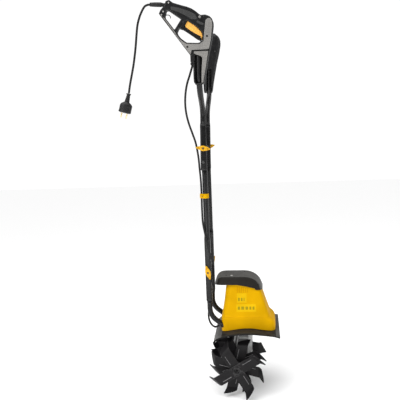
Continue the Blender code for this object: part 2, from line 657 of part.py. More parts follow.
def blade_plate(y_mid, phase, side_0, side_1, hn=12):
    """A bar across the hub whose two ends are bent over at a slanted fold and
    cut to a hooked point on the leading side. side_0 and side_1 are the signs
    in Y of the two bends."""
    bend = math.radians(BLADE_BEND)
    end = BLADE_END
    n_end = len(end)

    def place(s, t, h, flip):
        p = Vector((s, t))
        q = max(0.0, (p - Vector((FOLD_S, 0.0))).dot(FOLD_N))
        p = p - FOLD_N * q * (1.0 - math.cos(bend))
        bend_side = side_1 if flip else side_0
        hh = h + bend_side * q * math.sin(bend)
        if q > 1e-6:
            p = p - FOLD_N * h * bend_side * math.sin(bend)
            hh -= h * (1.0 - math.cos(bend))
        a = phase + (math.pi if flip else 0.0)
        c, sn = math.cos(a), math.sin(a)
        return (p.x * c + p.y * sn, y_mid + hh, TINE_Z + p.x * sn - p.y * c)

    loop = [(s, t, False) for s, t in end] + [(s, t, True) for s, t in end]
    bm = bmesh.new()
    lo = [bm.verts.new(place(s, t, -BLADE_T / 2, f)) for s, t, f in loop]
    hi = [bm.verts.new(place(s, t, BLADE_T / 2, f)) for s, t, f in loop]
    hr = (SLEEVE_RO + 0.0003) / math.cos(math.pi / hn)

    def hole_ring(h):
        return [bm.verts.new((hr * math.cos(2 * math.pi * k / hn), y_mid + h,
                              TINE_Z + hr * math.sin(2 * math.pi * k / hn))) for k in range(hn)]
    hlo, hhi = hole_ring(-BLADE_T / 2), hole_ring(BLADE_T / 2)
    n = len(loop)
    for i in range(n):
        j = (i + 1) % n
        bm.faces.new((lo[i], lo[j], hi[j], hi[i]))
    for k in range(hn):
        m = (k + 1) % hn
        bm.faces.new((hlo[k], hhi[k], hhi[m], hlo[m]))
    for base in (0, n_end):
        for v in (lo, hi):
            # flat stretch up to the fold, then the bent end in two strips
            bm.faces.new((v[base], v[base + 1], v[base + 9], v[base + 10]))
            bm.faces.new((v[base + 1], v[base + 2], v[base + 7], v[base + 8], v[base + 9]))
            bm.faces.new((v[base + 2], v[base + 3], v[base + 4], v[base + 5], v[base + 6], v[base + 7]))
    cs = [0, n_end - 1, n_end, 2 * n_end - 1]
    for v, hv in ((lo, hlo), (hi, hhi)):
        corners = [v[c] for c in cs]
        allv = corners + hv
        for a, b, c in tessellate_polygon([[Vector((q.co.x, q.co.z, 0)) for q in corners],
                                           [Vector((q.co.x, q.co.z, 0)) for q in hv]]):
            bm.faces.new((allv[a], allv[b], allv[c]))
    return bm


for side, sy in (("right", -1.0), ("left", 1.0)):
    for i, ys in enumerate(STAR_Y):
        for j, (dy, dph) in enumerate(((0.0, 0.0), (-BLADE_T - 0.0004, 90.0))):
            # the two plates of a star lie face to face; on each plate one end
            # bends outward and the other inward
            yy = sy * (ys + dy + BLADE_T / 2 + 0.0004)
            first = sy if j == 0 else -sy
            finish("tine_blade_%s_%d%s" % (side, i + 1, "ab"[j]),
                   blade_plate(yy, math.radians(STAR_PHASE[side][i] + dph), first, -first),
                   "tine_steel", TINES, 25.0)

def upper_path(sy):
    """Centre line of an upper tube: straight, a swan neck outward, straight."""
    path = [(TUBE_X, sy * TUBE_Y_UP, z) for z in (0.869, 0.875, 1.028, 1.036, 1.044)]
    p0, p1 = (TUBE_Y_UP, 1.060), (TUBE_Y_UP, 1.120)
    p2, p3 = (HANDLE_Y, 1.120), (HANDLE_Y, 1.200)
    for k in range(8):
        t = k / 7
        yy = (1 - t) ** 3 * p0[0] + 3 * t * (1 - t) ** 2 * p1[0] + 3 * t * t * (1 - t) * p2[0] + t ** 3 * p3[0]
        zz = (1 - t) ** 3 * p0[1] + 3 * t * (1 - t) ** 2 * p1[1] + 3 * t * t * (1 - t) * p2[1] + t ** 3 * p3[1]
        path.append((TUBE_X, sy * yy, zz))
    path.append((TUBE_X, sy * HANDLE_Y, 1.2900))
    # the whole upper section leans a little forward from its pivot
    return [(x + (z - UPPER_PIVOT_Z) * UPPER_LEAN, y, z) for x, y, z in path]


def socket(sy):
    """Solid that clears an upper tube's end out of a grip."""
    pts = upper_path(sy)[8:]
    pts[-1] = (pts[-1][0], pts[-1][1], pts[-1][2] + GAP * 2)
    return bent_tube(pts, [(TUBE_R + 0.0005, TUBE_R + 0.0005)] * len(pts), inner=False, seg=12)


# --------------------------------------------------------- handle tubes
for side, sy in (("right", -1.0), ("left", 1.0)):
    y = sy * TUBE_Y_MID
    zs = [0.368, 0.374, 0.560, 0.602, 0.611, 0.620, 0.852, 0.860, 0.867, 1.010, 1.024]
    ob = finish("middle_tube_" + side,
                bent_tube([(TUBE_X, y, z) for z in zs],
                          [flat_at(z, 0.0, 0.602) if z < 0.7 else flat_at(z, 0.867, 2.0, 0.015) for z in zs]),
                "black_tube", MIDDLE)
    for pz in (LOWER_PIVOT_Z, UPPER_PIVOT_Z):
        boolean(ob, rod((TUBE_X, y - 0.02, pz), (TUBE_X, y + 0.02, pz), BOLT_R + 0.0003, 12))

    path = upper_path(sy)
    ob = finish("upper_tube_" + side,
                bent_tube(path, [flat_at(p[2], 0.0, 1.028, 0.015) for p in path]), "black_tube", UPPER)
    boolean(ob, rod((TUBE_X, sy * TUBE_Y_UP - 0.02, UPPER_PIVOT_Z),
                    (TUBE_X, sy * TUBE_Y_UP + 0.02, UPPER_PIVOT_Z), BOLT_R + 0.0003, 12))

# bolts: head on the inner side, thread to the wing nut on the outer side
JOINTS = (("lower", LOWER_PIVOT_Z, TUBE_Y_LOW, TUBE_Y_MID, MIDDLE), ("upper", UPPER_PIVOT_Z, TUBE_Y_MID, TUBE_Y_UP, UPPER))
for jn, pz, yi, yo, par in JOINTS:
    for side, sy in (("right", -1.0), ("left", 1.0)):
        a = yi - FLAT_B - GAP
        b = yo + FLAT_B + 0.0150
        prof = [(0, a - 0.0045), (0.0060, a - 0.0040), (0.0068, a), (BOLT_R, a), (BOLT_R, b), (0, b)]
        finish("bolt_%s_%s" % (jn, side),
               lathe([(r, sy * h) for r, h in prof], (TUBE_X, 0, pz), "Y", 12), "steel", par)

WING_TILT = {("upper", "right"): 98.4, ("upper", "left"): 78.0, ("lower", "right"): 163.7, ("lower", "left"): 28.0}
NUTS = {}
for jn, pz, yi, yo, par in JOINTS:
    for side, sy in (("right", -1.0), ("left", 1.0)):
        nut = body("nut_%s_%s_axis" % (jn, side), (TUBE_X, sy * (yo + FLAT_B + 0.006), pz))
        y_face = yo + FLAT_B + GAP
        tilt = math.radians(WING_TILT[(jn, side)] - 90.0)
        # lens-shaped wing bar with a raised hub, drawn in (s, t) across the axis
        half = []
        for k in range(9):
            f = k / 8
            s = -0.0290 + 0.0580 * f
            t = 0.0094 * max(0.0, 1.0 - (s / 0.0290) ** 2) ** 0.8
            half.append((s, t))
        outline = half + [(s, -t) for s, t in half[-2:0:-1]]
        c, sn = math.cos(-tilt), math.sin(-tilt)
        pts = [(TUBE_X + s * c - t * sn, pz + s * sn + t * c) for s, t in outline]
        bm = prism(pts, sy * (y_face + 0.0050), sy * (y_face + 0.0105))
        ob = finish("wing_nut_%s_%s" % (jn, side), bm, "yellow_plastic", nut)
        boolean(ob, lathe([(0.0001, sy * y_face), (0.0090, sy * y_face), (0.0080, sy * (y_face + 0.0135)),
                           (0.0001, sy * (y_face + 0.0135))], (TUBE_X, 0, pz), "Y", 18), "UNION")
        boolean(ob, rod((TUBE_X, sy * (y_face - 0.002), pz), (TUBE_X, sy * (y_face + 0.020), pz), BOLT_R + 0.0003, 12))
        NUTS[(jn, side)] = nut

# ------------------------------------------------------------ cable clip
CLIP_Z0, CLIP_Z1 = 0.7590, 0.7762
y = -TUBE_Y_MID
CL_R = TUBE_R + GAP
out_o, n = [], 22
clip_c = (TUBE_X, y)
clip_pts = []
for k in range(n + 1):
    an = math.radians(-155.0 + 310.0 * k / n)
    clip_pts.append(((CL_R + 0.0022) * math.cos(an), (CL_R + 0.0022) * math.sin(an)))
cable_c = (-CL_R - CABLE_R - 0.0008, 0.0)
for k in range(9):
    an = math.radians(125.0 + 110.0 * k / 8)
    clip_pts.append((cable_c[0] + (CABLE_R + 0.0028) * math.cos(an), (CABLE_R + 0.0028) * math.sin(an)))
bm = bmesh.new()
loft(bm, [[(TUBE_X + px, y + py, z) for px, py in clip_pts] for z in (CLIP_Z0, CLIP_Z1)])
clip = finish("cable_clip", bm, "yellow_plastic", MIDDLE)
boolean(clip, rod((TUBE_X, y, CLIP_Z0 - 0.005), (TUBE_X, y, CLIP_Z1 + 0.005), CL_R / math.cos(math.pi / 20), 20))
boolean(clip, rod((TUBE_X + cable_c[0], y, CLIP_Z0 - 0.005), (TUBE_X + cable_c[0], y, CLIP_Z1 + 0.005),
                  CABLE_R + 0.0007, 12))

# ---------------------------------------------------------- switch handle
SHELL = [(-0.1978, 1.4511), (-0.1863, 1.4544), (-0.1739, 1.4444), (-0.1458, 1.4344), (-0.1261, 1.4283),
         (-0.1120, 1.4221), (-0.0983, 1.4131), (-0.0860, 1.4021), (-0.0804, 1.3985), (-0.0646, 1.3989),
         (-0.0508, 1.3931), (-0.0426, 1.3844), (-0.0389, 1.3733), (-0.0386, 1.3624), (-0.0415, 1.3407),
         (-0.0451, 1.3153), (-0.0507, 1.2923), (-0.0555, 1.2748), (-0.0608, 1.2506), (-0.0650, 1.2269),
         (-0.0697, 1.2060), (-0.0747, 1.1825), (-0.0787, 1.1692), (-0.1060, 1.1662), (-0.1122, 1.1757),
         (-0.1130, 1.1890), (-0.1125, 1.2430), (-0.1215, 1.2430), (-0.1215, 1.2670), (-0.1364, 1.2874),
         (-0.2236, 1.4102), (-0.2178, 1.4222), (-0.2102, 1.4300), (-0.2043, 1.4366)]
OPEN_1 = [(-0.1979, 1.4197), (-0.1906, 1.4202), (-0.1477, 1.3885), (-0.1720, 1.3546), (-0.2027, 1.3967),
          (-0.2031, 1.4034)]
OPEN_2 = [(-0.1577, 1.3582), (-0.1490, 1.3577), (-0.1400, 1.3690), (-0.1345, 1.3800), (-0.1267, 1.3812),
          (-0.1140, 1.3722), (-0.0963, 1.3602), (-0.0837, 1.3472), (-0.0775, 1.3368), (-0.0768, 1.3270),
          (-0.0780, 1.3140), (-0.0843, 1.3100), (-0.0879, 1.3078), (-0.0952, 1.3070), (-0.1310, 1.3096),
          (-0.1394, 1.3154), (-0.1518, 1.3258), (-0.1613, 1.3390), (-0.1637, 1.3458)]
TRIG = [(-0.1425, 1.3600), (-0.1370, 1.3712), (-0.1300, 1.3760), (-0.1267, 1.3850), (-0.1140, 1.3770),
        (-0.0985, 1.3600), (-0.0837, 1.3440), (-0.0792, 1.3368), (-0.0785, 1.3270), (-0.0800, 1.3180),
        (-0.0862, 1.3142), (-0.1010, 1.3243), (-0.1250, 1.3412), (-0.1440, 1.3545)]


def turn(poly, centre, deg):
    """Rotate an (x, z) outline about a Y axis, positive as seen along +Y."""
    c, s = math.cos(math.radians(deg)), math.sin(math.radians(deg))
    return [(centre[0] + (x - centre[0]) * c + (z - centre[1]) * s,
             centre[1] - (x - centre[0]) * s + (z - centre[1]) * c) for x, z in poly]


def hull(points):
    """Convex outline round a set of (x, z) points."""
    pts = sorted(set(points))
    chains = []
    for seq in (pts, pts[::-1]):
        out = []
        for p in seq:
            while len(out) > 1 and ((out[-1][0] - out[-2][0]) * (p[1] - out[-2][1])
                                    - (out[-1][1] - out[-2][1]) * (p[0] - out[-2][0])) <= 1e-12:
                out.pop()
            out.append(p)
        chains.append(out[:-1])
    return chains[0] + chains[1]


# everything the trigger passes through over its travel, with clearance
TRIG_ROOM = offset(hull([p for a in (0.0, 1.5, 3.0, 4.5, 6.0) for p in turn(TRIG, TRIG_PIVOT, a)]), -0.0009)

SLEEVE_PATH = [Vector((-0.1850, -HANDLE_Y, 1.4388)), Vector((-0.2010, -HANDLE_Y, 1.4405)),
               Vector((-0.2190, -HANDLE_Y, 1.4438)), Vector((-0.2370, -HANDLE_Y, 1.4455)),
               Vector((-0.2557, -HANDLE_Y, 1.4451))]


def sleeve_rings(extra):
    """Rings of the bend relief sleeve, grown by extra for its seat."""
    rings = []
    for i, p in enumerate(SLEEVE_PATH):
        t = (SLEEVE_PATH[min(i + 1, 4)] - SLEEVE_PATH[max(i - 1, 0)]).normalized()
        v = t.cross(Vector((0, 1, 0))).normalized()
        r = (0.0057, 0.0057, 0.0066, 0.0060, 0.0052)[i] + extra
        if i == 0:
            p = p - t * extra
        rings.append([p + (Vector((0, 1, 0)) * math.cos(2 * math.pi * k / 14)
                           + v * math.sin(2 * math.pi * k / 14)) * r for k in range(14)])
    return rings


TRIG_THICK = 0.0105
for side, sy in (("outer", -1.0), ("inner", 1.0)):
    bm = prism(SHELL, -HANDLE_Y + sy * GAP / 2, -HANDLE_Y + sy * HANDLE_T, holes=[OPEN_1, OPEN_2])
    ob = finish("switch_handle_" + side, bm, "black_plastic", UPPER)
    # socket of the tube
    boolean(ob, socket(-1.0))
    # room for the trigger's swing
    boolean(ob, prism(TRIG_ROOM, -HANDLE_Y - TRIG_THICK - 0.0008, -HANDLE_Y + TRIG_THICK + 0.0008))
    # room for the switch block and the lock button
    boolean(ob, box(-0.1260, -0.0930, -HANDLE_Y - 0.0125, -HANDLE_Y + 0.0125, 1.3870, 1.4060))
    if sy < 0:
        boolean(ob, rod((-0.0834, -HANDLE_Y - 0.03, 1.3911), (-0.0834, -HANDLE_Y - 0.0075, 1.3911), 0.0046, 16))
    # seat of the supply cord sleeve
    cut = bmesh.new()
    loft(cut, sleeve_rings(0.0005))
    boolean(ob, cut)

finish("switch_block", box(-0.1240, -0.0950, -HANDLE_Y - 0.0110, -HANDLE_Y + 0.0110, 1.3910, 1.4045),
       "black_plastic", UPPER)
finish("trigger", prism(TRIG, -HANDLE_Y - TRIG_THICK, -HANDLE_Y + TRIG_THICK), "orange_plastic", TRIGGER)
finish("lock_button", lathe([(0, -0.0215), (0.0036, -0.0212), (0.0042, -0.0200), (0.0042, -0.0125), (0, -0.0125)],
                            (-0.0834, -HANDLE_Y, 1.3911), "Y", 16), "grey_plastic", LOCK)

# ------------------------------------------------------------- left grip
GRIP_ROWS = [(1.1660, -0.1150, -0.0840), (1.1720, -0.1185, -0.0805), (1.2000, -0.1187, -0.0765),
             (1.2400, -0.1180, -0.0685), (1.2800, -0.1165, -0.0600), (1.3200, -0.1120, -0.0495),
             (1.3550, -0.1030, -0.0422), (1.3750, -0.0970, -0.0425), (1.3900, -0.0905, -0.0490),
             (1.3990, -0.0850, -0.0590), (1.4030, -0.0790, -0.0670)]
bm = bmesh.new()
rows = []
for i, (z, x0, x1) in enumerate(GRIP_ROWS):
    w = HANDLE_T * (0.80 if i == 0 else 1.0) * (1.0 if i < 8 else (0.86, 0.62, 0.32)[i - 8])
    rows.append([(px, py + HANDLE_Y, pz) for px, py, pz in rrect(x0, x1, w, z, 20, 2.8)])
loft(bm, rows)
grip = finish("left_grip", bm, "black_plastic", UPPER)
boolean(grip, socket(1.0))

# ------------------------------------- supply cord: sleeve, cord and plug
CORD_PTS = [(-0.2569, 1.4450), (-0.2650, 1.4438), (-0.2730, 1.4400), (-0.2790, 1.4325), (-0.2850, 1.4222), (-0.2929, 1.4060),
            (-0.3012, 1.3797), (-0.3065, 1.3464), (-0.3107, 1.3129), (-0.3160, 1.2793), (-0.3223, 1.2456),
            (-0.3302, 1.2118), (-0.3384, 1.1779), (-0.3440, 1.1490)]
yc = -HANDLE_Y
bm = bmesh.new()
loft(bm, sleeve_rings(0.0))
finish("cord_sleeve", bm, "rubber", UPPER)
pts = resample(catmull([(x, yc, z) for x, z in CORD_PTS], 8), CORD_R * 2 * 2.4)
curve_tube("power_cord", pts, CORD_R, "rubber", UPPER, 2)

# plug: turned along the cord's last direction, with a flattened body
PLUG_TOP = Vector((-0.3441, yc, 1.1484))
PLUG_DIR = (Vector((-0.3690, yc, 1.0620)) - PLUG_TOP).normalized()
pv = Vector((0, 1, 0))
pu = PLUG_DIR.cross(pv).normalized()


def plug_ring(h, a, b, power=2.4, n=18):
    e = 2.0 / power
    out = []
    for k in range(n):
        an = 2 * math.pi * k / n
        c, s = math.cos(an), math.sin(an)
        out.append(PLUG_TOP + PLUG_DIR * h + pu * math.copysign(abs(c) ** e, c) * a
                   + pv * math.copysign(abs(s) ** e, s) * b)
    return out


bm = bmesh.new()
loft(bm, [plug_ring(h, a, b) for h, a, b in (
    (0.0000, 0.0075, 0.0070), (0.0040, 0.0086, 0.0075), (0.0070, 0.0060, 0.0060), (0.0300, 0.0088, 0.0080),
    (0.0350, 0.0165, 0.0140), (0.0420, 0.0220, 0.0165), (0.0640, 0.0225, 0.0170), (0.0680, 0.0205, 0.0155))])
finish("plug_body", bm, "rubber", UPPER)
bm = bmesh.new()
loft(bm, [plug_ring(0.0684, 0.0180, 0.0120), plug_ring(0.0700, 0.0176, 0.0116)])
pins = finish("plug_pins", bm, "brass", UPPER)
for s in (-1, 1):
    c0 = PLUG_TOP + PLUG_DIR * 0.0692 + pu * s * 0.0095
    boolean(pins, rod(c0, c0 + PLUG_DIR * 0.0190, 0.0024, 12), "UNION")

# ------------------------------------------------------------ switch cable
CABLE_PTS = [(-0.1168, -0.2000, 1.2416), (-0.1172, -0.2000, 1.2310), (-0.1224, -0.1995, 1.2153),
             (-0.1290, -0.1978, 1.1968), (-0.1373, -0.1940, 1.1758), (-0.1453, -0.1850, 1.1460),
             (-0.1508, -0.1680, 1.1091), (-0.1509, -0.1480, 1.0727), (-0.1458, -0.1280, 1.0377),
             (-0.1365, -0.1090, 1.0017), (-0.1280, -0.0965, 0.9704), (-0.1228, -0.0925, 0.9393),
             (-0.1192, -0.0900, 0.9079), (-0.1176, -0.0860, 0.8729), (-0.1156, -0.0805, 0.8351),
             (-0.1148, -0.0773, 0.7960), (-0.1148, -0.0773, 0.7620), (-0.1150, -0.0790, 0.7337),
             (-0.1142, -0.0830, 0.6962), (-0.1125, -0.0880, 0.6662), (-0.1066, -0.0925, 0.6326),
             (-0.1009, -0.0927, 0.5986), (-0.0935, -0.0927, 0.5620), (-0.0855, -0.0900, 0.5350),
             (-0.0825, -0.0780, 0.5180), (-0.0828, -0.0600, 0.5060), (-0.0870, -0.0470, 0.4850),
             (-0.0930, -0.0450, 0.4500), (-0.0990, -0.0450, 0.4000), (-0.1050, -0.0460, 0.3400),
             (-0.1078, -0.0490, 0.3080), (-0.1075, -0.0510, 0.2880), (-0.1025, -0.0535, 0.2710),
             (-0.0940, -0.0530, 0.2580), (-0.0840, -0.0480, 0.2500), (-0.0760, -0.0450, 0.2512),
             (-0.0700, -0.0440, 0.2546), (-0.0645, -0.0440, 0.2551)]
pts = resample(catmull(CABLE_PTS, 8), 0.0190)
curve_tube("switch_cable", pts, CABLE_R, "rubber", MIDDLE, 2)
finish("motor_cable_gland", lathe([(0.0044, 0.0), (0.0080, 0.0), (0.0080, 0.0050), (0.0060, 0.0052), (0.0060, 0.0140),
                                   (0.0044, 0.0140)], (-0.0615, -0.0440, 0.2550), "X", 16), "black_plastic", BASE)
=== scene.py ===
# Looks of the garden tiller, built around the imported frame.
# Shapes are drawn in a ground frame (tine shaft on X = 0, ground at Z = 0) and
# moved by G into the frame's own axes; every number is in metres.
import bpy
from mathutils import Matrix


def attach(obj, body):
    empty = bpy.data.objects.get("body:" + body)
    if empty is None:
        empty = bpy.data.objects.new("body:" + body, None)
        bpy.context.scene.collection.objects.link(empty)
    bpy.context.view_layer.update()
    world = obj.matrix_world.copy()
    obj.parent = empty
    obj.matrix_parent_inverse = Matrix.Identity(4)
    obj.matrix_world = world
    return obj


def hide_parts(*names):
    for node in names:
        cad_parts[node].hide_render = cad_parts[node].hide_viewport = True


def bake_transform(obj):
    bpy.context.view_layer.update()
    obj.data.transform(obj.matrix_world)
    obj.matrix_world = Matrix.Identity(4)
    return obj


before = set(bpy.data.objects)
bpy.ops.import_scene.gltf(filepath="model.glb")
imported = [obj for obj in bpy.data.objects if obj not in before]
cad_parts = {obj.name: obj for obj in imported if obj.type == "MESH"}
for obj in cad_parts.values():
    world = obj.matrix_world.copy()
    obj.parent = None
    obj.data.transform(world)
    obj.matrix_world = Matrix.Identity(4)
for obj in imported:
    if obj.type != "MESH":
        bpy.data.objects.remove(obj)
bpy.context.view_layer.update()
import bpy
import bmesh
import math
import random
from mathutils import Vector, Matrix
from mathutils.geometry import tessellate_polygon

G = Vector((-0.100, 0.0, 1.360))
SCENE = bpy.context.scene

# ------------------------------------------------------------------ camera
cam_data = bpy.data.cameras.new("camera")
cam = bpy.data.objects.new("camera", cam_data)
SCENE.collection.objects.link(cam)
cam_data.sensor_width = 36.0
cam_data.lens = 51.3
cam_data.clip_start = 0.05
cam_data.clip_end = 60.0
CR = Vector((0.99385217, 0.10394283, -0.03812807))
CU = Vector((0.02557568, 0.11952469, 0.99250175))
CD = Vector((-0.10772068, 0.98737518, -0.11613147))
cam.matrix_world = Matrix.Translation((0.20902775, -2.18930668, -0.35899445)) @ Matrix((CR, CU, -CD)).transposed().to_4x4()
SCENE.camera = cam

# --------------------------------------------------------------- materials
_mats = {}


class Nodes:
    """Short names for building a node tree around one Principled shader."""

    def __init__(self, name):
        self.m = bpy.data.materials.new(name)
        self.m.use_nodes = True
        self.t = self.m.node_tree
        self.b = self.t.nodes["Principled BSDF"]
        self.co = self.t.nodes.new("ShaderNodeTexCoord").outputs["Object"]
        self.k = 0

    def new(self, kind):
        n = self.t.nodes.new(kind)
        self.k += 1
        n.location = (-200 - 180 * (self.k % 6), 300 - 160 * (self.k // 6))
        return n

    def link(self, a, b):
        self.t.links.new(a, b)

    def stretch(self, scale):
        n = self.new("ShaderNodeMapping")
        n.inputs["Scale"].default_value = scale
        self.link(self.co, n.inputs["Vector"])
        return n.outputs["Vector"]

    def noise(self, scale, detail=3.0, rough=0.5, vec=None, distort=0.0):
        n = self.new("ShaderNodeTexNoise")
        n.inputs["Scale"].default_value = scale
        n.inputs["Detail"].default_value = detail
        n.inputs["Roughness"].default_value = rough
        n.inputs["Distortion"].default_value = distort
        self.link(vec or self.co, n.inputs["Vector"])
        return n.outputs["Fac"]

    def voronoi(self, scale, feature="F1", vec=None):
        n = self.new("ShaderNodeTexVoronoi")
        n.feature = feature
        n.inputs["Scale"].default_value = scale
        self.link(vec or self.co, n.inputs["Vector"])
        return n.outputs["Distance"]

    def ramp(self, fac, stops):
        n = self.new("ShaderNodeValToRGB")
        e = n.color_ramp.elements
        while len(e) < len(stops):
            e.new(0.5)
        for q, (p, c) in zip(e, stops):
            q.position = p
            q.color = (*c, 1.0) if len(c) == 3 else c
        self.link(fac, n.inputs["Fac"])
        return n.outputs["Color"]

    def span(self, fac, lo, hi, a=0.3, b=0.7):
        n = self.new("ShaderNodeMapRange")
        n.inputs["From Min"].default_value = a
        n.inputs["From Max"].default_value = b
        n.inputs["To Min"].default_value = lo
        n.inputs["To Max"].default_value = hi
        self.link(fac, n.inputs["Value"])
        return n.outputs["Result"]

    def mix(self, fac, a, b, mode="MIX"):
        n = self.new("ShaderNodeMix")
        n.data_type = "RGBA"
        n.blend_type = mode
        if isinstance(fac, float):
            n.inputs[0].default_value = fac
        else:
            self.link(fac, n.inputs[0])
        for s, v in ((n.inputs[6], a), (n.inputs[7], b)):
            if isinstance(v, tuple):
                s.default_value = (*v, 1.0)
            else:
                self.link(v, s)
        return n.outputs[2]

    def math(self, op, a, b=None):
        n = self.new("ShaderNodeMath")
        n.operation = op
        for s, v in ((n.inputs[0], a), (n.inputs[1], b)):
            if v is None:
                continue
            if isinstance(v, (int, float)):
                s.default_value = v
            else:
                self.link(v, s)
        return n.outputs[0]

    def bump(self, height, strength, distance, normal=None):
        n = self.new("ShaderNodeBump")
        n.inputs["Strength"].default_value = strength
        n.inputs["Distance"].default_value = distance
        self.link(height, n.inputs["Height"])
        if normal is not None:
            self.link(normal, n.inputs["Normal"])
        return n.outputs["Normal"]

    def edges(self, lo=0.52, hi=0.60):
        g = self.new("ShaderNodeNewGeometry")
        return self.span(g.outputs["Pointiness"], 0.0, 1.0, lo, hi)

    def up(self):
        g = self.new("ShaderNodeNewGeometry")
        s = self.new("ShaderNodeSeparateXYZ")
        self.link(g.outputs["Normal"], s.inputs[0])
        return s.outputs["Z"]

    def set(self, name, v):
        s = self.b.inputs[name]
        if isinstance(v, (int, float)):
            s.default_value = v
        elif isinstance(v, tuple):
            s.default_value = (*v, 1.0) if len(v) == 3 else v
        else:
            self.link(v, s)


def tint(c, k):
    return tuple(min(1.0, v * k) for v in c)


def plastic(name, base, rough=0.42, grain=0.25, grain_scale=1300.0, coat=0.0, wear=0.12, dust=0.05, spec=0.5):
    """Moulded plastic: fine spark-eroded grain, soft colour drift, paler rubbed edges."""
    n = Nodes(name)
    drift = n.noise(14.0, 2.0)
    fleck = n.noise(420.0, 4.0, 0.6)
    col = n.ramp(drift, [(0.30, tint(base, 0.90)), (0.72, tint(base, 1.09))])
    col = n.mix(n.span(fleck, 0.0, 0.10), col, tint(base, 1.35))
    worn = n.math("MULTIPLY", n.edges(), n.span(n.noise(90.0, 3.0), 0.0, wear * 2))
    col = n.mix(worn, col, tuple(min(1.0, v * 1.5 + 0.05) for v in base))
    dusty = n.math("MULTIPLY", n.span(n.up(), 0.0, 1.0, 0.2, 1.0), n.span(n.noise(60.0, 5.0, 0.65), 0.0, dust))
    col = n.mix(dusty, col, (0.42, 0.40, 0.37))
    n.set("Base Color", col)
    n.set("Roughness", n.span(n.noise(55.0, 4.0, 0.6), rough - 0.07, rough + 0.09))
    n.set("Specular IOR Level", spec)
    if coat:
        n.set("Coat Weight", coat)
        n.set("Coat Roughness", 0.12)
    g = n.noise(grain_scale, 2.0, 0.6)
    nm = n.bump(g, grain, 0.0002)
    nm = n.bump(n.noise(30.0, 1.0), 0.10, 0.0006, nm)
    n.set("Normal", nm)
    return n.m


def powder(name, base, rough=0.24):
    """Glossy powder-coated steel: orange peel, fine rubbed marks along the tube."""
    n = Nodes(name)
    rub = n.noise(1.0, 4.0, 0.6, n.stretch((900.0, 900.0, 16.0)))
    drift = n.noise(9.0, 2.0)
    col = n.ramp(drift, [(0.3, tint(base, 0.85)), (0.75, tint(base, 1.25))])
    col = n.mix(n.span(rub, 0.0, 0.06, 0.62, 0.82), col, (0.05, 0.05, 0.05))
    spots = n.math("MULTIPLY", n.edges(0.54, 0.64), n.span(n.noise(160.0, 4.0), 0.0, 0.5, 0.5, 0.7))
    col = n.mix(spots, col, (0.20, 0.19, 0.18))
    n.set("Base Color", col)
    n.set("Roughness", n.span(n.noise(35.0, 4.0, 0.6), rough - 0.04, rough + 0.05))
    n.set("Specular IOR Level", 0.25)
    nm = n.bump(n.noise(420.0, 1.5), 0.05, 0.0002)
    nm = n.bump(rub, 0.05, 0.0001, nm)
    n.set("Normal", nm)
    return n.m


def cast(name, base=(0.66, 0.66, 0.65)):
    """Sand-grained die casting with stains in its low places."""
    n = Nodes(name)
    col = n.ramp(n.noise(70.0, 5.0, 0.65), [(0.30, tint(base, 0.62)), (0.55, base), (0.78, tint(base, 1.25))])
    col = n.mix(n.span(n.noise(18.0, 3.0), 0.0, 0.5, 0.45, 0.75), col, tint(base, 0.62))
    col = n.mix(n.math("MULTIPLY", n.edges(0.52, 0.60), 0.5), col, (0.72, 0.72, 0.71))
    n.set("Base Color", col)
    n.set("Metallic", 0.05)
    n.set("Roughness", n.span(n.noise(120.0, 4.0), 0.40, 0.62))
    nm = n.bump(n.noise(1100.0, 3.0, 0.65), 0.35, 0.0003)
    nm = n.bump(n.voronoi(300.0, "SMOOTH_F1"), 0.15, 0.0003, nm)
    n.set("Normal", nm)
    return n.m


def blade_metal(name, base=(0.0062, 0.0056, 0.0062)):
    """Dark painted spring steel, scratched along its length, bright on rubbed edges."""
    n = Nodes(name)
    scr = n.noise(1.0, 5.0, 0.7, n.stretch((70.0, 40.0, 900.0)), 0.4)
    scr2 = n.noise(1.0, 5.0, 0.7, n.stretch((900.0, 40.0, 80.0)), 0.4)
    col = n.ramp(n.noise(26.0, 4.0, 0.6), [(0.30, tint(base, 0.70)), (0.75, tint(base, 1.45))])
    col = n.mix(n.span(scr, 0.0, 0.20, 0.60, 0.78), col, (0.12, 0.12, 0.12))
    col = n.mix(n.span(scr2, 0.0, 0.15, 0.62, 0.80), col, (0.10, 0.10, 0.105))
    worn = n.math("MULTIPLY", n.edges(0.54, 0.62), n.span(n.noise(110.0, 4.0), 0.0, 0.6, 0.40, 0.70))
    col = n.mix(worn, col, (0.20, 0.195, 0.195))
    n.set("Base Color", col)
    n.set("Specular IOR Level", 0.17)
    n.set("Roughness", n.span(n.noise(40.0, 5.0, 0.65), 0.34, 0.56))
    nm = n.bump(n.noise(700.0, 3.0, 0.6), 0.20, 0.0002)
    nm = n.bump(scr, 0.10, 0.0002, nm)
    n.set("Normal", nm)
    return n.m


def metal(name, base, rough=0.30, brushed=(900.0, 900.0, 30.0)):
    """Plated or bare metal with fine brushing and a dull stain here and there."""
    n = Nodes(name)
    br = n.noise(1.0, 3.0, 0.6, n.stretch(brushed))
    col = n.ramp(n.noise(120.0, 4.0), [(0.3, tint(base, 0.80)), (0.7, tint(base, 1.10))])
    n.set("Base Color", col)
    n.set("Metallic", 1.0)
    n.set("Roughness", n.span(br, rough - 0.08, rough + 0.14))
    n.set("Normal", n.bump(br, 0.12, 0.0001))
    return n.m


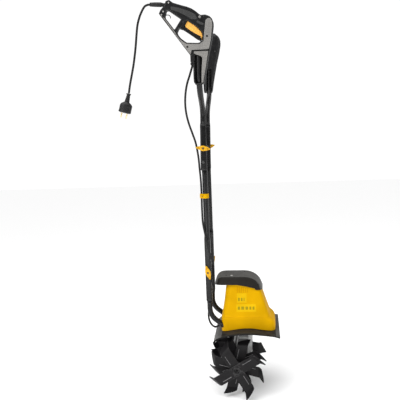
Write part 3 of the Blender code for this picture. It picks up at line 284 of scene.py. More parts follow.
def rubber(name, base=(0.007, 0.007, 0.007), rough=0.58):
    n = Nodes(name)
    n.set("Specular IOR Level", 0.25)
    col = n.ramp(n.noise(40.0, 4.0), [(0.3, tint(base, 0.8)), (0.7, tint(base, 1.5))])
    dusty = n.math("MULTIPLY", n.span(n.up(), 0.0, 1.0, 0.0, 1.0), n.span(n.noise(90.0, 5.0, 0.65), 0.0, 0.08))
    col = n.mix(dusty, col, (0.35, 0.34, 0.32))
    n.set("Base Color", col)
    n.set("Roughness", n.span(n.noise(150.0, 4.0), rough - 0.08, rough + 0.08))
    n.set("Normal", n.bump(n.noise(1600.0, 2.0), 0.20, 0.0002))
    return n.m


def banded(name, base, period, metallic=0.8, rough=0.45, depth=0.5):
    """Stacked sheets or turns of wire: fine bands across the part's axis."""
    n = Nodes(name)
    w = n.new("ShaderNodeTexWave")
    w.wave_type = "BANDS"
    w.bands_direction = "Z"
    w.inputs["Scale"].default_value = 2 * math.pi / period / 20.0
    w.inputs["Distortion"].default_value = 0.4
    w.inputs["Detail"].default_value = 2.0
    n.link(n.co, w.inputs["Vector"])
    col = n.mix(n.span(w.outputs["Fac"], 0.0, 1.0, 0.1, 0.9), tint(base, 0.55), tint(base, 1.15))
    col = n.mix(n.span(n.noise(80.0, 4.0), 0.0, 0.4), col, tint(base, 0.6))
    n.set("Base Color", col)
    n.set("Metallic", metallic)
    n.set("Roughness", n.span(n.noise(200.0, 3.0), rough - 0.08, rough + 0.12))
    n.set("Normal", n.bump(w.outputs["Fac"], depth, 0.0003))
    return n.m


YELLOW = (0.555, 0.297, 0.000)
M = {
    "yellow": plastic("yellow_plastic", YELLOW, 0.58, 0.12, 900.0, 0.0, 0.06, 0.01, 0.035),
    # a darker copy of the housing yellow for the ribs and belt: painted shade
    "yellow_painted_shade": plastic("yellow_shade", (0.49, 0.245, 0.000), 0.58, 0.12, 900.0, 0.0, 0.06, 0.01, 0.035),
    "label": plastic("label_film", (0.60, 0.365, 0.000), 0.46, 0.05, 600.0, 0.0, 0.04, 0.01, 0.06),
    "label_dark": plastic("label_print", (0.28, 0.215, 0.004), 0.46, 0.05, 600.0, 0.0, 0.04, 0.01, 0.08),
    "nut": plastic("nut_plastic", (0.70, 0.37, 0.006), 0.42, 0.15, 900.0, 0.0, 0.15, 0.03, 0.25),
    "dark": plastic("dark_plastic", (0.024, 0.0225, 0.021), 0.46, 0.30, 1200.0, 0.0, 0.08, 0.10, 0.28),
    # cover roof and walls: a lit and a shaded copy of the cover's dark plastic, painted light and painted shade
    "painted_lit_roof": plastic("painted_lit_roof_plastic", (0.062, 0.060, 0.056), 0.46, 0.30, 1200.0, 0.0, 0.06, 0.06, 0.28),
    "painted_shade_wall": plastic("painted_shade_wall_plastic", (0.0115, 0.0100, 0.0085), 0.52, 0.30, 1200.0, 0.0, 0.05, 0.05, 0.12),
    # the guard's upper faces: a lighter copy of the black guard plastic, painted light
    "guard_painted_lit_top": plastic("guard_upper_painted_lit", (0.050, 0.049, 0.048), 0.44, 0.30, 1000.0, 0.0, 0.10, 0.07, 0.40),
    "guard": plastic("guard_plastic", (0.0055, 0.005, 0.0045), 0.46, 0.30, 1000.0, 0.0, 0.10, 0.06, 0.12),
    "black": plastic("black_plastic", (0.006, 0.006, 0.0065), 0.36, 0.22, 1300.0, 0.0, 0.05, 0.02, 0.30),
    # soft pads: the grip's own dark grey brightened by a painted sheen
    "soft": plastic("soft_grip_and_painted_sheen", (0.030, 0.030, 0.030), 0.55, 0.45, 1500.0, 0.0, 0.04, 0.08, 0.35),
    "grey": plastic("grey_plastic", (0.205, 0.198, 0.188), 0.48, 0.30, 1300.0, 0.0, 0.08, 0.03, 0.30),
    "pale": plastic("pale_plastic", (0.46, 0.45, 0.43), 0.46, 0.25, 1300.0, 0.0, 0.08, 0.03),
    "amber": plastic("amber_plastic", (0.80, 0.41, 0.080), 0.40, 0.12, 900.0, 0.0, 0.10, 0.02, 0.25),
    "tube": powder("tube_coat", (0.0045, 0.0045, 0.0048), 0.26),
    # the bright casting for the case ribs and boss: painted light on their raised faces
    "cast": cast("cast_alloy_painted_lit"),
    "blade": blade_metal("blade_steel"),
    "hub": blade_metal("hub_steel", (0.016, 0.0155, 0.016)),
    # the bead's lit side: a lighter copy of the blade steel, a painted highlight
    "blade_painted_highlight": blade_metal("blade_crest_painted_highlight", (0.150, 0.148, 0.150)),
    # the gear case body: a near-black copy of the casting, painted shade for its recesses
    "cast_painted_shade": cast("cast_recess_painted_shade", (0.020, 0.020, 0.019)),
    "zinc": metal("zinc_steel", (0.56, 0.56, 0.57), 0.32),
    "shaft": metal("shaft_steel", (0.50, 0.50, 0.51), 0.28, (900.0, 20.0, 900.0)),
    "blackbolt": metal("black_bolt", (0.07, 0.07, 0.07), 0.36),
    "brass": metal("brass_pin", (0.78, 0.62, 0.34), 0.22),
    "bronze": metal("bronze", (0.52, 0.34, 0.14), 0.38),
    "rubber": rubber("cord_rubber"),
    "sleeve": rubber("sleeve_rubber", (0.010, 0.010, 0.010), 0.46),
    "plug": plastic("plug_plastic", (0.008, 0.008, 0.0085), 0.40, 0.30, 1300.0, 0.0, 0.06, 0.03, 0.28),
    "stack": banded("core_stack", (0.30, 0.30, 0.31), 0.0010),
    "wire": banded("coil_wire", (0.66, 0.30, 0.12), 0.0012, 0.8, 0.35),
}

# The frame's own solids that stay in view or inside get these finishes.
KEEP = {
    "stack": ("stator_core", "armature_core"),
    "wire": ("field_coil",),
    "black": ("brush_bridge", "cooling_fan", "switch_block"),
    "bronze": ("worm_wheel", "shaft_bushing_right", "shaft_bushing_left"),
    "zinc": ("bearing_bottom", "tube_bracket"),
    "shaft": ("armature_shaft",),
}
for key, names in KEEP.items():
    for nm in names:
        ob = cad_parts[nm]
        ob.data.materials.clear()
        ob.data.materials.append(M[key])


# ------------------------------------------------------------ mesh helpers
def finish(name, bm, mat, body, replaces=(), smooth=35.0, flip=True):
    """A bmesh in ground-frame coordinates becomes a piece that rides on a body."""
    bmesh.ops.remove_doubles(bm, verts=bm.verts[:], dist=1e-7)
    bmesh.ops.recalc_face_normals(bm, faces=bm.faces[:])
    if flip and bm.calc_volume(signed=True) < 0:
        bmesh.ops.reverse_faces(bm, faces=bm.faces[:])
    bmesh.ops.translate(bm, verts=bm.verts[:], vec=-G)
    me = bpy.data.meshes.new(name)
    bm.to_mesh(me)
    bm.free()
    ob = bpy.data.objects.new(name, me)
    SCENE.collection.objects.link(ob)
    me.materials.append(M[mat])
    me.shade_smooth()
    me.set_sharp_from_angle(angle=math.radians(smooth))
    if body is not None:
        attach(ob, body)
    if replaces:
        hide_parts(*([replaces] if isinstance(replaces, str) else replaces))
    return ob


def cut(ob, bm, op="DIFFERENCE", smooth=35.0):
    """Boolean with a cutter drawn in ground-frame coordinates."""
    bmesh.ops.remove_doubles(bm, verts=bm.verts[:], dist=1e-7)
    bmesh.ops.recalc_face_normals(bm, faces=bm.faces[:])
    if bm.calc_volume(signed=True) < 0:
        bmesh.ops.reverse_faces(bm, faces=bm.faces[:])
    bmesh.ops.translate(bm, verts=bm.verts[:], vec=-G)
    me = bpy.data.meshes.new("cutter")
    bm.to_mesh(me)
    bm.free()
    cu = bpy.data.objects.new("cutter", me)
    SCENE.collection.objects.link(cu)
    m = ob.modifiers.new("bool", "BOOLEAN")
    m.operation = op
    m.solver = "EXACT"
    m.object = cu
    dg = bpy.context.evaluated_depsgraph_get()
    dg.update()
    new = bpy.data.meshes.new_from_object(ob.evaluated_get(dg))
    ob.modifiers.clear()
    keep = ob.data.materials[0]
    old = ob.data
    ob.data = new
    new.name = ob.name
    new.materials.clear()
    new.materials.append(keep)
    for p in new.polygons:
        p.material_index = 0
    bpy.data.meshes.remove(old)
    bpy.data.objects.remove(cu, do_unlink=True)
    bpy.data.meshes.remove(me)
    new.shade_smooth()
    new.set_sharp_from_angle(angle=math.radians(smooth))
    return ob


def bevel(ob, width, segments=2, angle=40.0):
    m = ob.modifiers.new("bevel", "BEVEL")
    m.width = width
    m.segments = segments
    m.limit_method = "ANGLE"
    m.angle_limit = math.radians(angle)
    m.harden_normals = False
    dg = bpy.context.evaluated_depsgraph_get()
    dg.update()
    new = bpy.data.meshes.new_from_object(ob.evaluated_get(dg))
    ob.modifiers.clear()
    old = ob.data
    ob.data = new
    new.name = ob.name
    bpy.data.meshes.remove(old)
    new.shade_smooth()
    new.set_sharp_from_angle(angle=math.radians(35.0))
    return ob


def loft(bm, rings, close=False, cap=True):
    vs = [[bm.verts.new(p) for p in r] for r in rings]
    pairs = list(zip(vs, vs[1:]))
    if close:
        pairs.append((vs[-1], vs[0]))
    for a, b in pairs:
        n = len(a)
        for i in range(n):
            j = (i + 1) % n
            bm.faces.new((a[i], a[j], b[j], b[i]))
    if cap and not close:
        bm.faces.new(vs[0][::-1])
        bm.faces.new(vs[-1])
    return vs


def axes_of(axis):
    return {"X": (Vector((0, 1, 0)), Vector((0, 0, 1)), Vector((1, 0, 0))),
            "Y": (Vector((0, 0, 1)), Vector((1, 0, 0)), Vector((0, 1, 0))),
            "Z": (Vector((1, 0, 0)), Vector((0, 1, 0)), Vector((0, 0, 1)))}[axis]


def turned(bm, profile, centre, u, v, w, seg=48):
    """Turned solid around w through centre; (radius, height) pairs."""
    c = Vector(centre)
    rows = []
    for r, h in profile:
        if r < 1e-9:
            rows.append([bm.verts.new(c + w * h)])
        else:
            rows.append([bm.verts.new(c + w * h + (u * math.cos(2 * math.pi * k / seg)
                                                   + v * math.sin(2 * math.pi * k / seg)) * r) for k in range(seg)])
    pairs = list(zip(rows, rows[1:]))
    if len(rows[0]) > 1:
        pairs.append((rows[-1], rows[0]))
    for a, b in pairs:
        if len(a) == 1 and len(b) == 1:
            continue
        for i in range(seg):
            j = (i + 1) % seg
            if len(a) == 1:
                bm.faces.new((a[0], b[i], b[j]))
            elif len(b) == 1:
                bm.faces.new((a[i], b[0], a[j]))
            else:
                bm.faces.new((a[i], b[i], b[j], a[j]))
    return bm


def lathe(profile, centre, axis="Z", seg=48, bm=None):
    bm = bm or bmesh.new()
    return turned(bm, profile, centre, *axes_of(axis), seg)


def rod(p0, p1, r, seg=32, bm=None):
    bm = bm or bmesh.new()
    p0, p1 = Vector(p0), Vector(p1)
    w = (p1 - p0).normalized()
    u = w.orthogonal().normalized()
    v = w.cross(u)
    loft(bm, [[p + (u * math.cos(2 * math.pi * k / seg) + v * math.sin(2 * math.pi * k / seg)) * r
               for k in range(seg)] for p in (p0, p1)])
    return bm


def box(x0, x1, y0, y1, z0, z1, bm=None):
    bm = bm or bmesh.new()
    loft(bm, [[(x0, y0, z), (x1, y0, z), (x1, y1, z), (x0, y1, z)] for z in (z0, z1)])
    return bm


def area2(poly):
    n = len(poly)
    return sum(poly[i][0] * poly[(i + 1) % n][1] - poly[(i + 1) % n][0] * poly[i][1] for i in range(n))


def offset(poly, d):
    """Move a closed outline inward by d (outward if d is negative)."""
    if abs(d) < 1e-9:
        return [tuple(p) for p in poly]
    n = len(poly)
    s = 1.0 if area2(poly) > 0 else -1.0
    out = []
    for i in range(n):
        p0, p1, p2 = Vector(poly[i - 1]), Vector(poly[i]), Vector(poly[(i + 1) % n])
        a, b = (p1 - p0).normalized(), (p2 - p1).normalized()
        na, nb = Vector((-a.y, a.x)) * s, Vector((-b.y, b.x)) * s
        m = na + nb
        m = m / max(m.length_squared / 2.0, 0.5)
        out.append(tuple(p1 + m * d))
    return out


def fillet(poly, r, n=5):
    """Round every corner of an outline with an arc of about radius r (or a list of radii)."""
    out = []
    k = len(poly)
    for i in range(k):
        p0, p1, p2 = Vector(poly[i - 1]), Vector(poly[i]), Vector(poly[(i + 1) % k])
        a, b = p0 - p1, p2 - p1
        la, lb = a.length, b.length
        a.normalize()
        b.normalize()
        turn_half = (math.pi - math.acos(max(-1.0, min(1.0, a.dot(b))))) / 2
        rr = r[i] if isinstance(r, (list, tuple)) else r
        t = min(rr * math.tan(min(turn_half, 1.2)), 0.46 * la, 0.46 * lb)
        if turn_half < math.radians(3.0):
            t = min(0.46 * la, 0.46 * lb)
        q0, q1 = p1 + a * t, p1 + b * t
        for j in range(n + 1):
            f = j / n
            out.append(tuple(q0 * (1 - f) ** 2 + p1 * 2 * f * (1 - f) + q1 * f * f))
    clean = []
    for p in out:
        if not clean or (Vector(p) - Vector(clean[-1])).length > 2e-5:
            clean.append(p)
    if (Vector(clean[0]) - Vector(clean[-1])).length < 2e-5:
        clean.pop()
    return clean


def rprism(outline, y0, y1, r0=0.0, r1=0.0, holes=(), seg=4, bm=None, groove=None):
    """Extrude an (x, z) outline from y0 to y1 with its two face edges rounded."""
    bm = bm or bmesh.new()
    s = 1.0 if y1 > y0 else -1.0
    prof = []
    if r0 > 0:
        prof.append((r0 + 0.0006, y0))
        for k in range(seg + 1):
            a = math.pi / 2 * k / seg
            prof.append((r0 * (1 - math.sin(a)), y0 + s * r0 * (1 - math.cos(a))))
    else:
        prof.append((0.0, y0))
    if r1 > 0:
        for k in range(seg + 1):
            a = math.pi / 2 * k / seg
            prof.append((r1 * (1 - math.cos(a)), y1 - s * r1 * (1 - math.sin(a))))
        prof.append((r1 + 0.0006, y1))
    else:
        prof.append((0.0, y1))
    loops = [(list(outline), 1.0)] + [(list(h), -1.0) for h in holes]
    first, last = [], []
    for lp, sign in loops:
        rings = []
        for d, y in prof:
            rings.append([bm.verts.new((x, y, z)) for x, z in offset(lp, sign * d)])
        n = len(lp)
        for a, b in zip(rings, rings[1:]):
            for i in range(n):
                j = (i + 1) % n
                bm.faces.new((a[i], a[j], b[j], b[i]))
        first.append(rings[0])
        last.append(rings[-1])
    for caps in (first, last):
        flat = [v for c in caps for v in c]
        for a, b, c in tessellate_polygon([[Vector((v.co.x, v.co.z, 0.0)) for v in c] for c in caps]):
            bm.faces.new((flat[a], flat[b], flat[c]))
    return bm


def catmull(points, per=8):
    pts = [Vector(p) for p in points]
    n = len(pts)
    out = []
    for i in range(n - 1):
        p0 = pts[max(i - 1, 0)]
        p1, p2 = pts[i], pts[i + 1]
        p3 = pts[min(i + 2, n - 1)]
        for k in range(per):
            t = k / per
            out.append(0.5 * ((2 * p1) + (p2 - p0) * t + (2 * p0 - 5 * p1 + 4 * p2 - p3) * t * t
                              + (3 * p1 - p0 - 3 * p2 + p3) * t ** 3))
    out.append(pts[-1])
    return out


def resample(points, step):
    d = [0.0]
    for a, b in zip(points, points[1:]):
        d.append(d[-1] + (b - a).length)
    n = max(2, int(round(d[-1] / step)))
    out, k = [], 0
    for i in range(n + 1):
        s = d[-1] * i / n
        while k < len(d) - 2 and d[k + 1] < s:
            k += 1
        f = (s - d[k]) / max(d[k + 1] - d[k], 1e-12)
        out.append(points[k].lerp(points[k + 1], min(max(f, 0.0), 1.0)))
    return out


def lerp_table(table, x):
    if x <= table[0][0]:
        return table[0][1]
    for (a, fa), (b, fb) in zip(table, table[1:]):
        if x <= b:
            return fa + (fb - fa) * (x - a) / (b - a)
    return table[-1][1]


def smooth_table(table, x):
    """Table value with rounded corners: the mean over a short window."""
    return sum(lerp_table(table, x + 0.006 * k / 4) for k in range(-4, 5)) / 9.0


def cord_mesh(path, r, bm=None, seg=20, ends=0.25):
    """Round cord along a list of points, with flat capped ends."""
    bm = bm or bmesh.new()
    pts = [Vector(p) for p in path]
    t0 = (pts[1] - pts[0]).normalized()
    u = t0.orthogonal().normalized()
    rings = []
    prev = t0
    n = len(pts)
    for i, p in enumerate(pts):
        t = (pts[min(i + 1, n - 1)] - pts[max(i - 1, 0)]).normalized()
        u = (prev.rotation_difference(t) @ u)
        u = (u - t * u.dot(t)).normalized()
        prev = t
        v = t.cross(u)
        rings.append([p + (u * math.cos(2 * math.pi * k / seg) + v * math.sin(2 * math.pi * k / seg))
                      * (r(i / (n - 1)) if callable(r) else r) for k in range(seg)])
    loft(bm, rings)
    return bm


def spark(bm, centre, outward, r_head, kind="cross", u=None, seg=32):
    """Pan-head screw: domed head with a cut recess drawn as a sunk star."""
    w = Vector(outward).normalized()
    u = (Vector(u) if u is not None else w.orthogonal()).normalized()
    v = w.cross(u)
    c = Vector(centre)
    rows = []
    for rr, h in ((1.0, 0.0), (1.0, 0.18), (0.93, 0.34), (0.80, 0.44), (0.62, 0.50)):
        rows.append([c + w * (h * r_head) + (u * math.cos(2 * math.pi * k / seg)
                     + v * math.sin(2 * math.pi * k / seg)) * (rr * r_head) for k in range(seg)])
    # cross recess: the ring radius alternates between arms and root
    def cross_r(k):
        a = (k * 4 / seg) % 1.0
        d = min(a, 1 - a)
        return 0.56 if d < 0.13 else 0.20
    for h in (0.50, 0.14):
        rows.append([c + w * (h * r_head) + (u * math.cos(2 * math.pi * k / seg)
                     + v * math.sin(2 * math.pi * k / seg)) * (cross_r(k) * (1.0 if h > 0.3 else 0.8) * r_head)
                     for k in range(seg)])
    loft(bm, rows)
    return bm


# ------------------------------------------------------------- supply cord
HANDLE_Y = 0.200
TUBE_X = -0.100
TUBE_R = 0.0100
UPPER_LEAN = 0.0210
UPPER_PIVOT_Z = 0.9460
LOWER_PIVOT_Z = 0.4767
CORD_R = 0.0038
CABLE_R = 0.0037
CORD_PTS = [(-0.2569, 1.4450), (-0.2650, 1.4438), (-0.2730, 1.4400), (-0.2790, 1.4325), (-0.2850, 1.4222),
            (-0.2929, 1.4060), (-0.3012, 1.3797), (-0.3065, 1.3464), (-0.3107, 1.3129), (-0.3160, 1.2793),
            (-0.3223, 1.2456), (-0.3302, 1.2118), (-0.3384, 1.1779), (-0.3440, 1.1490)]
cord_path = resample(catmull([(x, -HANDLE_Y, z) for x, z in CORD_PTS], 10), 0.0045)
cord = finish("supply_cord", cord_mesh(cord_path, CORD_R, seg=24), "rubber", "upper_handle", "power_cord")

SLEEVE_PATH = [Vector((-0.1850, -HANDLE_Y, 1.4388)), Vector((-0.2010, -HANDLE_Y, 1.4405)),
               Vector((-0.2190, -HANDLE_Y, 1.4424)), Vector((-0.2370, -HANDLE_Y, 1.4438)),
               Vector((-0.2557, -HANDLE_Y, 1.4451))]
sl = resample(catmull(SLEEVE_PATH, 12), 0.0008)
n_sl = len(sl)


def sleeve_r(f):
    base = lerp_table([(0.0, 0.0056), (0.25, 0.0057), (0.50, 0.0068), (0.75, 0.0066), (1.0, 0.0056)], f)
    if f > 0.97:
        return base * 1.18 - 0.0014 * ((f - 0.97) / 0.03) ** 2
    # shallow flex grooves over the free stretch
    if f > 0.36:
        return base * (1.0 + 0.18 * min(1.0, (f - 0.36) / 0.06)) - 0.0006 * max(0.0, math.cos(2 * math.pi * (f - 0.36) * 14)) ** 3
    return base


sleeve = finish("cord_relief_sleeve", cord_mesh(sl, sleeve_r, seg=36), "sleeve", "upper_handle", "cord_sleeve", 60.0)

# plug: two-pin moulded plug with a waisted neck and finger ridges
PLUG_TOP = Vector((-0.3441, -HANDLE_Y, 1.1484))
PLUG_DIR = (Vector((-0.3690, -HANDLE_Y, 1.0620)) - PLUG_TOP).normalized()
PV = Vector((0, 1, 0))
PU = PLUG_DIR.cross(PV).normalized()


def plug_ring(h, a, b, power=2.4, n=56, ripple=0.0):
    e = 2.0 / power
    out = []
    for k in range(n):
        an = 2 * math.pi * k / n
        c, s = math.cos(an), math.sin(an)
        out.append(PLUG_TOP + PLUG_DIR * h + PU * math.copysign(abs(c) ** e, c) * a
                   + PV * math.copysign(abs(s) ** e, s) * b)
    return out


prof = [(0.0, 0.0050, 0.0050), (0.0000, 0.0068, 0.0064), (0.0006, 0.0078, 0.0071), (0.0016, 0.0085, 0.0075),
        (0.0032, 0.0085, 0.0075), (0.0042, 0.0078, 0.0070), (0.0048, 0.0062, 0.0060)]
h = 0.0062
while h < 0.0300:
    f = (h - 0.0062) / 0.0238
    a, b = 0.0060 + 0.0026 * f, 0.0060 + 0.0019 * f
    prof += [(h, a, b), (h + 0.0006, a + 0.0007, b + 0.0007), (h + 0.0016, a + 0.0007, b + 0.0007), (h + 0.0022, a, b)]
    h += 0.0034
prof += [(0.0308, 0.0096, 0.0086), (0.0325, 0.0125, 0.0108), (0.0350, 0.0163, 0.0138), (0.0378, 0.0192, 0.0154),
         (0.0405, 0.0211, 0.0163), (0.0430, 0.0219, 0.0166)]
h = 0.0450
while h < 0.0600:
    prof += [(h, 0.0221, 0.0167), (h + 0.0008, 0.0214, 0.0160), (h + 0.0020, 0.0214, 0.0160), (h + 0.0028, 0.0221, 0.0167)]
    h += 0.0046
prof += [(0.0640, 0.0224, 0.0169), (0.0664, 0.0221, 0.0166), (0.0676, 0.0212, 0.0158), (0.0680, 0.0204, 0.0153),
         (0.0680, 0.0180, 0.0130)]
bm = bmesh.new()
loft(bm, [plug_ring(h, a, b) for h, a, b in prof])
plug = finish("plug_shell", bm, "plug", "upper_handle", "plug_body", 40.0)
bm = bmesh.new()
loft(bm, [plug_ring(hh, a, b) for hh, a, b in ((0.0682, 0.0176, 0.0118), (0.0682, 0.0180, 0.0120), (0.0694, 0.0180, 0.0120),
                                               (0.0700, 0.0174, 0.0114), (0.0700, 0.0150, 0.0090))])
face = finish("plug_face", bm, "pale", "upper_handle", "plug_pins", 40.0)
for i, s in enumerate((-1, 1)):
    c0 = PLUG_TOP + PLUG_DIR * 0.0690 + PU * s * 0.0095
    bm = turned(bmesh.new(), [(0, 0.0), (0.0030, 0.0), (0.0030, 0.0018), (0.0024, 0.0022), (0.0024, 0.0168),
                              (0.0021, 0.0182), (0.0014, 0.0190), (0, 0.0192)], c0, PU, PV, PLUG_DIR, 28)
    pin = finish("plug_pin_%d" % (i + 1), bm, "brass", "upper_handle", "plug_pins")

# ------------------------------------------------------------ switch cable
CABLE_PTS = [(-0.1168, -0.2000, 1.2416), (-0.1172, -0.2000, 1.2310), (-0.1224, -0.1995, 1.2153),
             (-0.1290, -0.1978, 1.1968), (-0.1373, -0.1940, 1.1758), (-0.1453, -0.1850, 1.1460),
             (-0.1508, -0.1680, 1.1091), (-0.1509, -0.1480, 1.0727), (-0.1458, -0.1280, 1.0377),
             (-0.1365, -0.1090, 1.0017), (-0.1280, -0.0965, 0.9704), (-0.1228, -0.0925, 0.9393),
             (-0.1192, -0.0900, 0.9079), (-0.1176, -0.0860, 0.8729), (-0.1156, -0.0805, 0.8351),
             (-0.1148, -0.0773, 0.7960), (-0.1148, -0.0773, 0.7620), (-0.1150, -0.0790, 0.7337),
             (-0.1142, -0.0830, 0.6962), (-0.1125, -0.0880, 0.6662), (-0.1066, -0.0925, 0.6326),
             (-0.1009, -0.0927, 0.5986), (-0.0935, -0.0927, 0.5620), (-0.0855, -0.0900, 0.5350),
             (-0.0825, -0.0780, 0.5180), (-0.0828, -0.0600, 0.5060), (-0.0870, -0.0470, 0.4850),
             (-0.0930, -0.0450, 0.4500), (-0.0990, -0.0450, 0.4000), (-0.1050, -0.0460, 0.3400),
             (-0.1078, -0.0490, 0.3080), (-0.1075, -0.0510, 0.2880), (-0.1025, -0.0535, 0.2710),
             (-0.0940, -0.0530, 0.2580), (-0.0840, -0.0480, 0.2500), (-0.0760, -0.0450, 0.2512),
             (-0.0700, -0.0440, 0.2546), (-0.0645, -0.0440, 0.2551)]
cable = resample(catmull(CABLE_PTS, 10), 0.0050)
top_part = [p for p in cable if p.z > 0.7785]
low_part = [p for p in cable if p.z <= 0.7785]
split = Vector((-0.1148, -0.0773, 0.7785))
top_part.append(split)
low_part.insert(0, split)
c_up = finish("switch_cable_upper", cord_mesh(top_part, CABLE_R, seg=20), "rubber", None, "switch_cable")
c_low = finish("switch_cable_lower", cord_mesh(low_part, CABLE_R, seg=20), "rubber", None, "switch_cable")
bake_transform(c_up)
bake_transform(c_low)

# ------------------------------------------------------------ handle tubes
TUBE_WALL = 0.0013
FLAT_A, FLAT_B = 0.0112, 0.0062
TUBE_Y_LOW, TUBE_Y_MID, TUBE_Y_UP = 0.0645, 0.0773, 0.0901


def flat_section(z, lo, hi, fade):
    f = 1.0
    if z < lo:
        f = max(0.0, 1.0 - (lo - z) / fade)
    if z > hi:
        f = max(0.0, 1.0 - (z - hi) / fade)
    f = f * f * (3 - 2 * f)
    return (TUBE_R + (FLAT_A - TUBE_R) * f, TUBE_R + (FLAT_B - TUBE_R) * f)


def tube(path, section, seg=40):
    """Hollow round or flattened tube along a list of points."""
    bm = bmesh.new()
    pts = [Vector(p) for p in path]
    n = len(pts)
    outer, inner = [], []
    for i, p in enumerate(pts):
        t = (pts[min(i + 1, n - 1)] - pts[max(i - 1, 0)]).normalized()
        u = (Vector((1, 0, 0)) - t * t.x).normalized()
        v = t.cross(u)
        a, b = section(p)

        def oval(a, b, k):
            an = 2 * math.pi * k / seg
            e = 2.0 / (2.0 + 1.6 * max(0.0, a / b - 1.0))
            cx, cy = math.cos(an), math.sin(an)
            return u * math.copysign(abs(cx) ** e, cx) * a + v * math.copysign(abs(cy) ** e, cy) * b
        outer.append([p + oval(a, b, k) for k in range(seg)])
        inner.append([p + oval(a - TUBE_WALL, b - TUBE_WALL, k) for k in range(seg)])
    loft(bm, outer + inner[::-1], close=True)
    return bm


LOWER_PATH = [(TUBE_X, z) for z in (0.600, 0.560, 0.380, 0.366, 0.352, 0.331)]
ARC_R = 0.060
for k in range(1, 6):
    an = math.radians(52.0 * k / 5)
    LOWER_PATH.append((TUBE_X + ARC_R * (1 - math.cos(an)), 0.331 - ARC_R * math.sin(an)))
LOWER_PATH.append((-0.0460, LOWER_PATH[-1][1] - (-0.0460 - LOWER_PATH[-1][0]) / math.tan(math.radians(52.0))))
LOW_FINE = [(TUBE_X, 0.600 - 0.004 * k) for k in range(0, 67)] + [(TUBE_X, 0.331)]
for k in range(1, 21):
    an = math.radians(52.0 * k / 20)
    LOW_FINE.append((TUBE_X + ARC_R * (1 - math.cos(an)), 0.331 - ARC_R * math.sin(an)))
LOW_FINE.append(LOWER_PATH[-1])


def upper_path(sy, fine=28):
    zs = [0.869 + 0.004 * k for k in range(44)] + [1.0475]
    path = [(TUBE_X, sy * TUBE_Y_UP, z) for z in zs]
    p0, p1, p2, p3 = (TUBE_Y_UP, 1.060), (TUBE_Y_UP, 1.120), (HANDLE_Y, 1.120), (HANDLE_Y, 1.200)
    for k in range(fine + 1):
        t = k / fine
        yy = (1 - t) ** 3 * p0[0] + 3 * t * (1 - t) ** 2 * p1[0] + 3 * t * t * (1 - t) * p2[0] + t ** 3 * p3[0]
        zz = (1 - t) ** 3 * p0[1] + 3 * t * (1 - t) ** 2 * p1[1] + 3 * t * t * (1 - t) * p2[1] + t ** 3 * p3[1]
        path.append((TUBE_X, sy * yy, zz))
    path.append((TUBE_X, sy * HANDLE_Y, 1.2890))
    return [(x + (z - UPPER_PIVOT_Z) * UPPER_LEAN, y, z) for x, y, z in path]


def end_cap(name, at, axis, a, b, body, drop=0.0055):
    """Rounded black plug in a flattened tube end."""
    u, v = Vector((1, 0, 0)), Vector((0, 1, 0))
    w = Vector((0, 0, 1)) * axis
    bm = bmesh.new()
    rings = []
    for k, (s, h) in enumerate(((0.80, -0.0080), (0.80, -0.0001), (1.02, 0.0), (1.03, 0.0012), (0.98, 0.0028), (0.84, 0.0044),
                                (0.58, drop - 0.0004), (0.28, drop))):
        aa, bb = a * s, b * s
        if k < 2:
            aa, bb = a - 0.0019, b - 0.0019
        rings.append([Vector(at) + w * h + u * math.copysign(abs(math.cos(t)) ** 0.6, math.cos(t)) * aa
                      + v * math.copysign(abs(math.sin(t)) ** 0.6, math.sin(t)) * bb
                      for t in [2 * math.pi * j / 36 for j in range(36)]])
    loft(bm, rings)
    return finish(name, bm, "black", body)


for side, sy in (("right", -1.0), ("left", 1.0)):
    y = sy * TUBE_Y_LOW
    ob = finish("tube_lower_" + side, tube([(x, y, z) for x, z in LOW_FINE], lambda p: flat_section(p.z, 0.366, 0.700, 0.015)),
                "tube", "base", "lower_tube_" + side)
    cut(ob, rod((TUBE_X, y - 0.02, LOWER_PIVOT_Z), (TUBE_X, y + 0.02, LOWER_PIVOT_Z), 0.0033, 20))
    y = sy * TUBE_Y_MID
    zs = [0.368 + 0.004 * k for k in range(165)]
    ob = finish("tube_middle_" + side,
                tube([(TUBE_X, y, z) for z in zs],
                     lambda p: flat_section(p.z, 0.0, 0.602, 0.018) if p.z < 0.7 else flat_section(p.z, 0.867, 2.0, 0.015)),
                "tube", "middle_handle", "middle_tube_" + side)
    for pz in (LOWER_PIVOT_Z, UPPER_PIVOT_Z):
        cut(ob, rod((TUBE_X, y - 0.02, pz), (TUBE_X, y + 0.02, pz), 0.0033, 20))
    ob = finish("tube_upper_" + side, tube(upper_path(sy), lambda p: flat_section(p.z, 0.0, 1.028, 0.015)),
                "tube", "upper_handle", "upper_tube_" + side)
    cut(ob, rod((TUBE_X, sy * TUBE_Y_UP - 0.02, UPPER_PIVOT_Z), (TUBE_X, sy * TUBE_Y_UP + 0.02, UPPER_PIVOT_Z), 0.0033, 20))
    x_end = TUBE_X + (0.869 - UPPER_PIVOT_Z) * UPPER_LEAN
    end_cap("cap_upper_" + side, (x_end, sy * TUBE_Y_UP, 0.869), -1, FLAT_A, FLAT_B, "upper_handle")
    end_cap("cap_middle_low_" + side, (TUBE_X, sy * TUBE_Y_MID, 0.368), -1, FLAT_A, FLAT_B, "middle_handle")
    end_cap("cap_middle_top_" + side, (TUBE_X, sy * TUBE_Y_MID, 1.024), 1, FLAT_A, FLAT_B, "middle_handle")
    end_cap("cap_lower_" + side, (TUBE_X, sy * TUBE_Y_LOW, 0.600), 1, FLAT_A, FLAT_B, "base")

